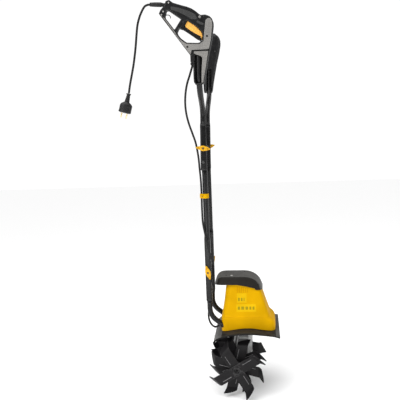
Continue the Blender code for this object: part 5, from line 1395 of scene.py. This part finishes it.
def blade(y_mid, phase, side_0, side_1, face):
    """One bar of a star: flat middle with a hub bore, a pressed bead, and two
    bent, hooked ends with ground edges. face is the Y sign of the beaded face."""
    bend = math.radians(BLADE_BEND)
    hw = BLADE_W / 2
    r_bend = 0.0040

    def place(s, t, h, flip):
        q = (Vector((s, t)) - Vector((FOLD_S, 0.0))).dot(FOLD_N)
        p = Vector((s, t))
        bs = side_1 if flip else side_0
        if q > -r_bend:
            # rounded fold: the sheet turns over a short arc
            L = r_bend * 2
            f = min(1.0, (q + r_bend) / L)
            ang = bend * f
            arc = r_bend * 2 / bend
            along = arc * math.sin(ang) + max(0.0, q - r_bend) * math.cos(bend)
            rise = arc * (1 - math.cos(ang)) + max(0.0, q - r_bend) * math.sin(bend)
            p = p - FOLD_N * (q + r_bend) + FOLD_N * along - FOLD_N * h * bs * math.sin(ang)
            hh = bs * rise + h * math.cos(ang)
        else:
            hh = h
        a = phase + (math.pi if flip else 0.0)
        c, sn = math.cos(a), math.sin(a)
        return Vector((p.x * c + p.y * sn, y_mid + hh, TINE_Z + p.x * sn - p.y * c))

    ts = [-hw, -hw + 0.0006, -0.0140, -0.0112, -0.0104, -0.0095, -0.0086, -0.0078, -0.0040, 0.0, 0.0060, 0.0130, hw - 0.0006, hw]
    us = [(t + hw) / BLADE_W for t in ts]
    m = len(ts)
    s_flat = [0.0300, 0.0320, 0.0345, 0.0370, 0.0400, 0.0470, 0.0540, 0.0600, 0.0650, 0.0685]

    def bead(s, t):
        f = max(0.0, 1.0 - abs(t + 0.0095) / 0.0017)
        e = min(1.0, max(0.0, (s - 0.0310) / 0.004), max(0.0, (0.0695 - s) / 0.004))
        return 0.0013 * f * e

    bm = bmesh.new()
    front, back = {}, {}
    rows = []                 # rows of (s, t, edge factor) for one end
    for s in s_flat:
        rows.append([(s, t) for t in ts])
    for q in (-r_bend, -r_bend * 0.5, 0.0, r_bend * 0.5, r_bend):
        row = []
        for t in ts:
            base = FOLD_S + FOLD_SLOPE * t
            row.append((base + q * math.sqrt(1 + FOLD_SLOPE ** 2), t))
        rows.append(row)
    last = rows[-1]
    lead = [last[-1]] + [p for p in LEAD if p[0] > last[-1][0] + 0.001]
    trail = [last[0]] + [p for p in TRAIL[1:]]
    for k in range(1, 12):
        f = k / 11 * 0.985
        L, T = poly_at(lead, f), poly_at(trail, f)
        rows.append([tuple(T.lerp(L, u)) for u in us])
    n_rows = len(rows)
    ends = []
    for flip in (False, True):
        gf, gb = [], []
        for ri, row in enumerate(rows):
            rf, rb = [], []
            for j, (s, t) in enumerate(row):
                edge = 1.0 if 0 < j < m - 1 else 0.0
                # ground bevel toward the outline of the bent end
                thin = 1.0
                if ri > len(s_flat) + 4 and (j in (0, 1)):
                    thin = 0.45 if j == 0 else 0.9
                hf = BLADE_T / 2 * thin - (0.0 if edge else 0.0004 * (thin >= 1.0))
                b = bead(s, t) if ri < len(s_flat) else 0.0
                rf.append(bm.verts.new(place(s, t, face * (hf + b), flip)))
                rb.append(bm.verts.new(place(s, t, -face * hf, flip)))
            gf.append(rf)
            gb.append(rb)
        for g in (gf, gb):
            for i, (a, b) in enumerate(zip(g, g[1:])):
                for j in range(m - 1):
                    q = bm.faces.new((a[j], a[j + 1], b[j + 1], b[j]))
                    # the lit side of the pressed bead takes the lighter steel: a painted highlight along the crest
                    if g is gf and j in (4, 5) and i < len(s_flat) - 1:
                        q.material_index = 1
        for j in (0, m - 1):
            for i in range(n_rows - 1):
                bm.faces.new((gf[i][j], gf[i + 1][j], gb[i + 1][j], gb[i][j]))
        for j in range(m - 1):
            bm.faces.new((gf[-1][j], gf[-1][j + 1], gb[-1][j + 1], gb[-1][j]))
        ends.append((gf[0], gb[0]))
    # middle: from the first rows round the long edges to the hub bore
    hr = SLEEVE_RO + 0.0003
    (f0, b0), (f1, b1) = ends
    for (ea, eb, sign) in ((f0, f1, face), (b0, b1, -face)):
        n_side = 9
        h_edge = sign * (BLADE_T / 2 - 0.0004)
        loop = list(ea)                                     # -hw .. +hw at +s
        side_a = [bm.verts.new(place(0.0300 - 0.0600 * k / (n_side + 1), hw, h_edge, False)) for k in range(1, n_side + 1)]
        loop += side_a
        loop += list(eb)                                    # flipped end: its -hw is this side's +hw
        side_b = [bm.verts.new(place(-0.0300 + 0.0600 * k / (n_side + 1), -hw, h_edge, False)) for k in range(1, n_side + 1)]
        loop += side_b
        c0 = Vector((0.0, y_mid + sign * BLADE_T / 2, TINE_Z))
        hole, mid = [], []
        for v in loop:
            d = Vector((v.co.x, 0.0, v.co.z - TINE_Z))
            dn = d.normalized()
            hole.append(bm.verts.new(c0 + dn * hr))
            mid.append(bm.verts.new(c0 + dn * (hr + (d.length - hr) * 0.55)))
        n = len(loop)
        for i in range(n):
            j = (i + 1) % n
            bm.faces.new((loop[i], loop[j], mid[j], mid[i]))
            bm.faces.new((mid[i], mid[j], hole[j], hole[i]))
        if sign == face:
            keep = (side_a, side_b, hole)
        else:
            sa, sb, hole2 = keep
            for s1, s2, (pf, pb), (qf, qb) in ((sa, side_a, (f0[-1], b0[-1]), (f1[0], b1[0])),
                                               (sb, side_b, (f1[-1], b1[-1]), (f0[0], b0[0]))):
                chain_f = [pf] + s1 + [qf]
                chain_b = [pb] + s2 + [qb]
                for i in range(len(chain_f) - 1):
                    bm.faces.new((chain_f[i], chain_f[i + 1], chain_b[i + 1], chain_b[i]))
            for i in range(n):
                j = (i + 1) % n
                bm.faces.new((hole2[i], hole2[j], hole[j], hole[i]))
    return bm


for side, sy in (("right", -1.0), ("left", 1.0)):
    for i, ys in enumerate(STAR_Y):
        for j, (dy, dph) in enumerate(((0.0, 0.0), (-BLADE_T - 0.0004, 90.0))):
            yy = sy * (ys + dy + BLADE_T / 2 + 0.0004)
            first = sy if j == 0 else -sy
            finish("blade_%s_%d%s" % (side, i + 1, "ab"[j]),
                   blade(yy, math.radians(STAR_PHASE[side][i] + dph), first, -first, sy),
                   "blade", "tine_rotor", "tine_blade_%s_%d%s" % (side, i + 1, "ab"[j]), 28.0).data.materials.append(M["blade_painted_highlight"])
        # four rivets through the two crossed bars
        bm = bmesh.new()
        y_out = sy * (ys + BLADE_T + 0.0004)
        for k in range(4):
            a = math.radians(STAR_PHASE[side][i] + 45.0 + 90.0 * k)
            cx, cz = 0.0207 * math.cos(a), TINE_Z + 0.0207 * math.sin(a)
            lathe([(0, y_out - sy * 0.0006), (0.0030, y_out - sy * 0.0006), (0.0031, y_out + sy * 0.0002), (0.0027, y_out + sy * 0.0010),
                   (0.0018, y_out + sy * 0.0016), (0, y_out + sy * 0.0019)], (cx, 0, cz), "Y", 24, bm)
        finish("rivets_%s_%d" % (side, i + 1), bm, "hub", "tine_rotor")

# ----------------------------------------------------------- switch handle
SHELL = [(-0.1978, 1.4511), (-0.1863, 1.4544), (-0.1739, 1.4444), (-0.1458, 1.4344), (-0.1261, 1.4283), (-0.1120, 1.4221),
         (-0.0983, 1.4131), (-0.0860, 1.4021), (-0.0804, 1.3985), (-0.0646, 1.3989), (-0.0508, 1.3931), (-0.0426, 1.3844),
         (-0.0389, 1.3733), (-0.0386, 1.3624), (-0.0415, 1.3407), (-0.0451, 1.3153), (-0.0507, 1.2923), (-0.0555, 1.2748),
         (-0.0608, 1.2506), (-0.0650, 1.2269), (-0.0697, 1.2060), (-0.0747, 1.1825), (-0.0787, 1.1692), (-0.1060, 1.1662),
         (-0.1122, 1.1757), (-0.1130, 1.1890), (-0.1125, 1.2430), (-0.1215, 1.2430), (-0.1215, 1.2670), (-0.1364, 1.2874),
         (-0.2236, 1.4102), (-0.2178, 1.4222), (-0.2102, 1.4300), (-0.2043, 1.4366)]
OPEN_1 = [(-0.1979, 1.4197), (-0.1906, 1.4202), (-0.1477, 1.3885), (-0.1720, 1.3546), (-0.2027, 1.3967), (-0.2031, 1.4034)]
OPEN_2 = [(-0.1577, 1.3582), (-0.1490, 1.3577), (-0.1400, 1.3690), (-0.1345, 1.3800), (-0.1267, 1.3812), (-0.1140, 1.3722),
          (-0.0963, 1.3602), (-0.0837, 1.3472), (-0.0775, 1.3368), (-0.0768, 1.3270), (-0.0780, 1.3140), (-0.0843, 1.3100),
          (-0.0879, 1.3078), (-0.0952, 1.3070), (-0.1310, 1.3096), (-0.1394, 1.3154), (-0.1518, 1.3258), (-0.1613, 1.3390),
          (-0.1637, 1.3458)]
TRIG = [(-0.1425, 1.3600), (-0.1370, 1.3712), (-0.1300, 1.3760), (-0.1267, 1.3850), (-0.1140, 1.3770), (-0.0985, 1.3600),
        (-0.0837, 1.3440), (-0.0792, 1.3368), (-0.0785, 1.3270), (-0.0800, 1.3180), (-0.0862, 1.3142), (-0.1010, 1.3243),
        (-0.1250, 1.3412), (-0.1440, 1.3545)]
TRIG_PIVOT = (-0.0835, 1.3300)
PANEL_A = [(-0.0645, 1.3800), (-0.0560, 1.3862), (-0.0480, 1.3850), (-0.0425, 1.3760), (-0.0418, 1.3620), (-0.0446, 1.3410),
           (-0.0482, 1.3160), (-0.0538, 1.2930), (-0.0568, 1.2852), (-0.0640, 1.2832), (-0.1150, 1.2838), (-0.1172, 1.2760),
           (-0.1186, 1.2702), (-0.1212, 1.2700), (-0.1352, 1.2893), (-0.2175, 1.4040), (-0.2035, 1.3935), (-0.1745, 1.3532),
           (-0.1680, 1.3434), (-0.1650, 1.3368), (-0.1545, 1.3226), (-0.1416, 1.3116), (-0.1322, 1.3054), (-0.0952, 1.3024),
           (-0.0860, 1.3030), (-0.0806, 1.3064), (-0.0734, 1.3118), (-0.0718, 1.3270), (-0.0706, 1.3400), (-0.0674, 1.3600)]
PANEL_B = [(-0.1085, 1.2785), (-0.0585, 1.2780), (-0.0600, 1.2700), (-0.0640, 1.2500), (-0.0682, 1.2265), (-0.0728, 1.2055),
           (-0.0775, 1.1830), (-0.0800, 1.1730), (-0.0855, 1.1720), (-0.0843, 1.2103), (-0.0809, 1.2442), (-0.0797, 1.2577),
           (-0.0858, 1.2625), (-0.1030, 1.2691), (-0.1080, 1.2720)]
PAD_1 = [(-0.1818, 1.4320), (-0.1525, 1.4252), (-0.1250, 1.4152), (-0.0979, 1.4002), (-0.0916, 1.3831), (-0.1123, 1.3860),
         (-0.1327, 1.3989), (-0.1565, 1.4120), (-0.1806, 1.4202)]
PAD_2 = [(-0.0934, 1.3815), (-0.0713, 1.3702), (-0.0698, 1.3634), (-0.0819, 1.3658), (-0.0954, 1.3750)]


def turn(poly, about, deg):
    """Rotate (x, z) points about a pivot the way the trigger is pulled."""
    a = math.radians(deg)
    c, s = math.cos(a), math.sin(a)
    return [(about[0] + (x - about[0]) * c + (z - about[1]) * s, about[1] - (x - about[0]) * s + (z - about[1]) * c) for x, z in poly]


def socket_rod(sy, r):
    pts = [Vector(p) for p in upper_path(sy, 20) if p[2] > 1.13]
    bm = bmesh.new()
    rings = []
    for i, p in enumerate(pts):
        t = (pts[min(i + 1, len(pts) - 1)] - pts[max(i - 1, 0)]).normalized()
        u = (Vector((1, 0, 0)) - t * t.x).normalized()
        v = t.cross(u)
        rings.append([p + (u * math.cos(2 * math.pi * k / 36) + v * math.sin(2 * math.pi * k / 36)) * r for k in range(36)])
    loft(bm, rings)
    return bm


AMBER = [(-0.1372, 1.3700), (-0.1300, 1.3762), (-0.1267, 1.3850), (-0.1140, 1.3772), (-0.0975, 1.3612), (-0.0824, 1.3452),
         (-0.0777, 1.3372), (-0.0768, 1.3290), (-0.0782, 1.3172), (-0.0800, 1.3176), (-0.0839, 1.3290), (-0.1011, 1.3377),
         (-0.1181, 1.3488), (-0.1333, 1.3612)]
WELLS = [[(x + 0.0036 * math.cos(2 * math.pi * k / 24), z + 0.0036 * math.sin(2 * math.pi * k / 24)) for k in range(24)]
         for x, z in ((-0.0608, 1.3270), (-0.1290, 1.2945))]
SHELL_F = fillet(SHELL, 0.0035, 4)
O1_F, O2_F = fillet(OPEN_1, 0.0028, 4), fillet(OPEN_2, 0.0026, 4)
for tag, sd, node in (("outer", -1.0, "switch_handle_outer"), ("inner", 1.0, "switch_handle_inner")):
    y_split = -HANDLE_Y + sd * GAP / 2
    y_body, y_panel, y_face = -HANDLE_Y + sd * 0.0152, -HANDLE_Y + sd * 0.0128, -HANDLE_Y + sd * 0.0168
    bm = rprism(SHELL_F, y_split, y_body, 0.0003, 0.0042, holes=[O1_F, O2_F], seg=5)
    ob = finish("handle_" + tag, bm, "black", "upper_handle", node, 38.0)
    cut(ob, socket_rod(-1.0, TUBE_R + 0.0005), smooth=38.0)
    for a in (0.0, 1.5, 3.0, 5.0):
        cut(ob, rprism(offset(turn(TRIG, TRIG_PIVOT, a), -0.0009), -HANDLE_Y - 0.0114, -HANDLE_Y + 0.0114), smooth=38.0)
        cut(ob, rprism(offset(turn(AMBER, TRIG_PIVOT, a), -0.0006), -HANDLE_Y - 0.0110, -HANDLE_Y + 0.0110), smooth=38.0)
    cut(ob, box(-0.1260, -0.0930, -HANDLE_Y - 0.0125, -HANDLE_Y + 0.0125, 1.3870, 1.4060), smooth=38.0)
    bm = bmesh.new()
    loft(bm, [[p + (Vector((0, 1, 0)) * math.cos(2 * math.pi * k / 28) + Vector((0, 1, 0)).cross(Vector((1, 0, 0.1)).normalized())
                    * math.sin(2 * math.pi * k / 28)) * 0.0064 for k in range(28)] for p in sl[:int(n_sl * 0.30)]])
    cut(ob, bm, smooth=38.0)
    if sd < 0:
        cut(ob, rod((-0.0834, -0.230, 1.3911), (-0.0834, -0.2075, 1.3911), 0.0046, 32), smooth=38.0)
        # open slot showing the tube where it enters the handle
        cut(ob, rprism(fillet([(-0.1068, 1.1700), (-0.0866, 1.1700), (-0.0850, 1.2100), (-0.0822, 1.2440), (-0.0812, 1.2560),
                               (-0.0870, 1.2608), (-0.1030, 1.2665), (-0.1062, 1.2640)], 0.003, 4), -0.2250, -HANDLE_Y - 0.0060),
            smooth=38.0)
    pa = finish("panel_main_" + tag, rprism(fillet(PANEL_A, 0.0020, 4), y_panel, y_face, 0.0, 0.0016, holes=WELLS, seg=4), "grey", "upper_handle", smooth=38.0)
    pb = finish("panel_low_" + tag, rprism(fillet(PANEL_B, 0.0020, 4), y_panel, y_face, 0.0, 0.0018, seg=4), "grey", "upper_handle", smooth=38.0)
    # cheek between the strut and the trigger's rear end
    finish("cheek_" + tag, rprism(fillet([(-0.1560, 1.3592), (-0.1480, 1.3560), (-0.1436, 1.3552), (-0.1395, 1.3600), (-0.1352, 1.3672),
                                          (-0.1300, 1.3740), (-0.1275, 1.3850), (-0.1400, 1.3850), (-0.1440, 1.3700)], 0.0010, 3),
                                  -HANDLE_Y + sd * 0.0115, -HANDLE_Y + sd * 0.0140, 0.0, 0.0010, seg=3), "black", "upper_handle", smooth=38.0)
    # soft pads set in the top bar, their grey partly the grip's own colour and partly a painted sheen
    for nm, pad in (("pad_long_", PAD_1), ("pad_short_", PAD_2)):
        bm = rprism(fillet(pad, 0.0040 if nm == "pad_long_" else 0.0020, 4), -HANDLE_Y + sd * 0.0135, -HANDLE_Y + sd * 0.0163,
                    0.0, 0.0011, seg=3)
        finish(nm + tag, bm, "soft", "upper_handle", smooth=38.0)
    # screw wells
    for i, (x, z) in enumerate(((-0.0608, 1.3270), (-0.1290, 1.2945))):
        bm = bmesh.new()
        spark(bm, (x, -HANDLE_Y + sd * 0.0144, z), (0, sd, 0), 0.0028)
        finish("well_screw_%s_%d" % (tag, i + 1), bm, "blackbolt", "upper_handle")
    for i, (x, z, r) in enumerate(((-0.1405, 1.3786, 0.0028), (-0.1880, 1.4440, 0.0024), (-0.0700, 1.3930, 0.0024),
                                 (-0.2077, 1.4161, 0.0026), (-0.2136, 1.4060, 0.0024))):
        bm = bmesh.new()
        spark(bm, (x, -HANDLE_Y + sd * (0.0150 if i else 0.0148), z), (0, sd, 0), r)
        finish("edge_screw_%s_%d" % (tag, i + 1), bm, "blackbolt" if i in (0, 2) else "pale", "upper_handle")
# cable gland block and strain-relief collar under the handle
bm = rprism(fillet([(-0.1205, 1.2420), (-0.1100, 1.2420), (-0.1060, 1.2500), (-0.1060, 1.2660), (-0.1130, 1.2690), (-0.1205, 1.2640)],
                   0.0020, 4), -HANDLE_Y - 0.0160, -HANDLE_Y + 0.0160, 0.0020, 0.0020, seg=3)
finish("gland_block", bm, "black", "upper_handle", smooth=38.0)
bm = lathe([(0.0036, 1.2350), (0.0056, 1.2352), (0.0060, 1.2360), (0.0062, 1.2425), (0.0036, 1.2425)], (-0.1169, -HANDLE_Y, 0), "Z", 36)
finish("gland_collar", bm, "black", "upper_handle")
# wire cord hook at the top bar's rear
hook = catmull([(-0.2035, -HANDLE_Y, 1.4040), (-0.2010, -HANDLE_Y, 1.4060), (-0.1963, -HANDLE_Y, 1.4068), (-0.1905, -HANDLE_Y, 1.4060),
                (-0.1868, -HANDLE_Y, 1.4025), (-0.1850, -HANDLE_Y, 1.3985), (-0.1862, -HANDLE_Y, 1.3950)], 8)
finish("cord_hook", cord_mesh(hook, 0.0014, seg=14), "black", "upper_handle")

# trigger: amber lever over a black lower rail
RAILP = [(-0.1440, 1.3545), (-0.1425, 1.3600), (-0.1385, 1.3680), (-0.1335, 1.3618), (-0.1181, 1.3495), (-0.1011, 1.3384),
         (-0.0845, 1.3285), (-0.0800, 1.3180), (-0.0862, 1.3144), (-0.1010, 1.3244), (-0.1250, 1.3413)]
am = finish("trigger_lever", rprism(fillet(AMBER, 0.0016, 4), -HANDLE_Y - 0.0100, -HANDLE_Y + 0.0100, 0.0020, 0.0020, seg=4), "amber",
            "trigger", "trigger", 38.0)
finish("trigger_rail", rprism(fillet(RAILP, 0.0010, 4), -HANDLE_Y - 0.0104, -HANDLE_Y + 0.0104, 0.0012, 0.0012, seg=3), "black",
       "trigger", smooth=38.0)
bm = bmesh.new()
for k in range(5):
    f = 0.18 + 0.15 * k
    x = -0.1333 + (-0.0850 + 0.1333) * f
    z = 1.3600 + (1.3265 - 1.3600) * f
    for s in (-1, 1):
        rod((x + 0.0016, -HANDLE_Y + s * 0.0096, z + 0.0038), (x + 0.0072, -HANDLE_Y + s * 0.0096, z + 0.0110), 0.0007, 10, bm)
finish("trigger_ribs", bm, "amber", "trigger")
bm = lathe([(0, -0.0215), (0.0020, -0.02148), (0.0034, -0.0211), (0.0041, -0.0203), (0.0042, -0.0195), (0.0042, -0.0125), (0, -0.0125)],
           (-0.0834, -HANDLE_Y, 1.3911), "Y", 40)
finish("lock_cap", bm, "grey", "lock_button", "lock_button")
bm = lathe([(0.0044, -0.0146), (0.0060, -0.0146), (0.0060, -0.0158), (0.0055, -0.0162), (0.0047, -0.0160), (0.0044, -0.0155)],
           (-0.0834, -HANDLE_Y, 1.3911), "Y", 40)
finish("lock_bezel", bm, "black", "upper_handle")

# ---------------------------------------------------------------- left grip
HANDLE_T = 0.0170
GRIP_ROWS = [(1.1660, -0.1150, -0.0840, 0.80), (1.1720, -0.1185, -0.0805, 1.0), (1.2000, -0.1187, -0.0765, 1.0),
             (1.2400, -0.1180, -0.0685, 1.0), (1.2800, -0.1165, -0.0600, 1.0), (1.3200, -0.1120, -0.0495, 1.0),
             (1.3550, -0.1030, -0.0422, 1.0), (1.3750, -0.0970, -0.0425, 0.97), (1.3900, -0.0905, -0.0490, 0.86),
             (1.3990, -0.0850, -0.0590, 0.62), (1.4030, -0.0790, -0.0670, 0.32)]
bm = bmesh.new()
rings = []
zs = []
for (a, b) in zip(GRIP_ROWS, GRIP_ROWS[1:]):
    m = max(2, int((b[0] - a[0]) / 0.0030))
    zs += [a[0] + (b[0] - a[0]) * k / m for k in range(m)]
zs.append(GRIP_ROWS[-1][0])
for z in zs:
    x0 = smooth_table([(r[0], r[1]) for r in GRIP_ROWS], z)
    x1 = smooth_table([(r[0], r[2]) for r in GRIP_ROWS], z)
    w = smooth_table([(r[0], r[3]) for r in GRIP_ROWS], z) * HANDLE_T
    g = 0.0
    if 1.2750 < z < 1.3800:
        g = 0.0005 * (0.5 + 0.5 * math.cos((z - 1.275) / 0.0052 * 2 * math.pi))
    rings.append([(x, HANDLE_Y + y, zz) for x, y, zz in sring(x0 + g, x1 - g, w - g, 72, 2.8, lambda x, y, z=z: z)])
loft(bm, rings)
grip = finish("grip_body", bm, "black", "upper_handle", "left_grip", 40.0)
cut(grip, socket_rod(1.0, TUBE_R + 0.0005), smooth=40.0)
cut(grip, rprism(fillet([(-0.1065, 1.1710), (-0.0845, 1.1710), (-0.0835, 1.2100), (-0.0800, 1.2600), (-0.1012, 1.2600)], 0.003, 4),
                 HANDLE_Y - 0.0250, HANDLE_Y - 0.0060), smooth=40.0)
bm = bmesh.new()
spark(bm, (-0.0649, HANDLE_Y - 0.0158, 1.3302), (0, -1, 0), 0.0030)
spark(bm, (-0.0649, HANDLE_Y + 0.0158, 1.3302), (0, 1, 0), 0.0030)
finish("grip_screws", bm, "blackbolt", "upper_handle")


# ------------------------------------------------------- floor and lighting
FLOOR_Z = 0.0006 - G.z - 0.0045
fm = bpy.data.materials.new("floor_white")
fm.use_nodes = True
fb = fm.node_tree.nodes["Principled BSDF"]
fb.inputs["Base Color"].default_value = (0.975, 0.975, 0.975, 1.0)
fb.inputs["Roughness"].default_value = 0.9
fb.inputs["Specular IOR Level"].default_value = 0.1
bm = bmesh.new()
bmesh.ops.create_grid(bm, x_segments=8, y_segments=8, size=9.0)
me = bpy.data.meshes.new("floor")
bm.to_mesh(me)
bm.free()
floor = bpy.data.objects.new("floor", me)
floor.location = (0.0, 0.0, FLOOR_Z)
floor.data.materials.append(fm)
SCENE.collection.objects.link(floor)

world = bpy.data.worlds.new("studio")
world.use_nodes = True
wb = world.node_tree.nodes["Background"]
wb.inputs["Color"].default_value = (1.0, 1.0, 1.0, 1.0)
wb.inputs["Strength"].default_value = 0.70
wn = world.node_tree
lp = wn.nodes.new("ShaderNodeLightPath")
wm = wn.nodes.new("ShaderNodeMapRange")
wm.inputs["To Min"].default_value = 0.24
wm.inputs["To Max"].default_value = 1.05
wn.links.new(lp.outputs["Is Camera Ray"], wm.inputs["Value"])
wn.links.new(wm.outputs["Result"], wb.inputs["Strength"])
SCENE.world = world
SCENE.view_settings.view_transform = "Standard"
SCENE.view_settings.look = "None"


def area(name, at, look, sx, sy, power, spread=180.0):
    d = bpy.data.lights.new(name, "AREA")
    d.shape = "RECTANGLE"
    d.size, d.size_y = sx, sy
    d.energy = power
    d.spread = math.radians(spread)
    o = bpy.data.objects.new(name, d)
    o.location = at
    o.rotation_euler = (Vector(look) - Vector(at)).to_track_quat("-Z", "Y").to_euler()
    SCENE.collection.objects.link(o)
    return o


area("key_box", (-1.50, -1.75, 0.30), (0.0, 0.0, -0.60), 1.10, 3.0, 31.0)
area("edge_strip", (1.70, -0.90, 0.10), (0.0, 0.0, -0.65), 0.45, 2.8, 13.0)
area("back_left", (-1.60, 1.70, 0.30), (0.0, 0.0, -0.60), 0.70, 2.4, 14.0)
area("back_right", (1.60, 1.70, 0.30), (0.0, 0.0, -0.60), 0.70, 2.4, 9.0)
area("low_front", (-0.10, -2.10, -1.05), (0.08, 0.0, -1.15), 1.60, 0.40, 9.0)
sky = bpy.data.lights.new("overhead", "SUN")
sky.energy = 2.5
sky.angle = math.radians(70.0)
so = bpy.data.objects.new("overhead", sky)
so.rotation_euler = (math.radians(14.0), math.radians(-8.0), 0.0)
SCENE.collection.objects.link(so)
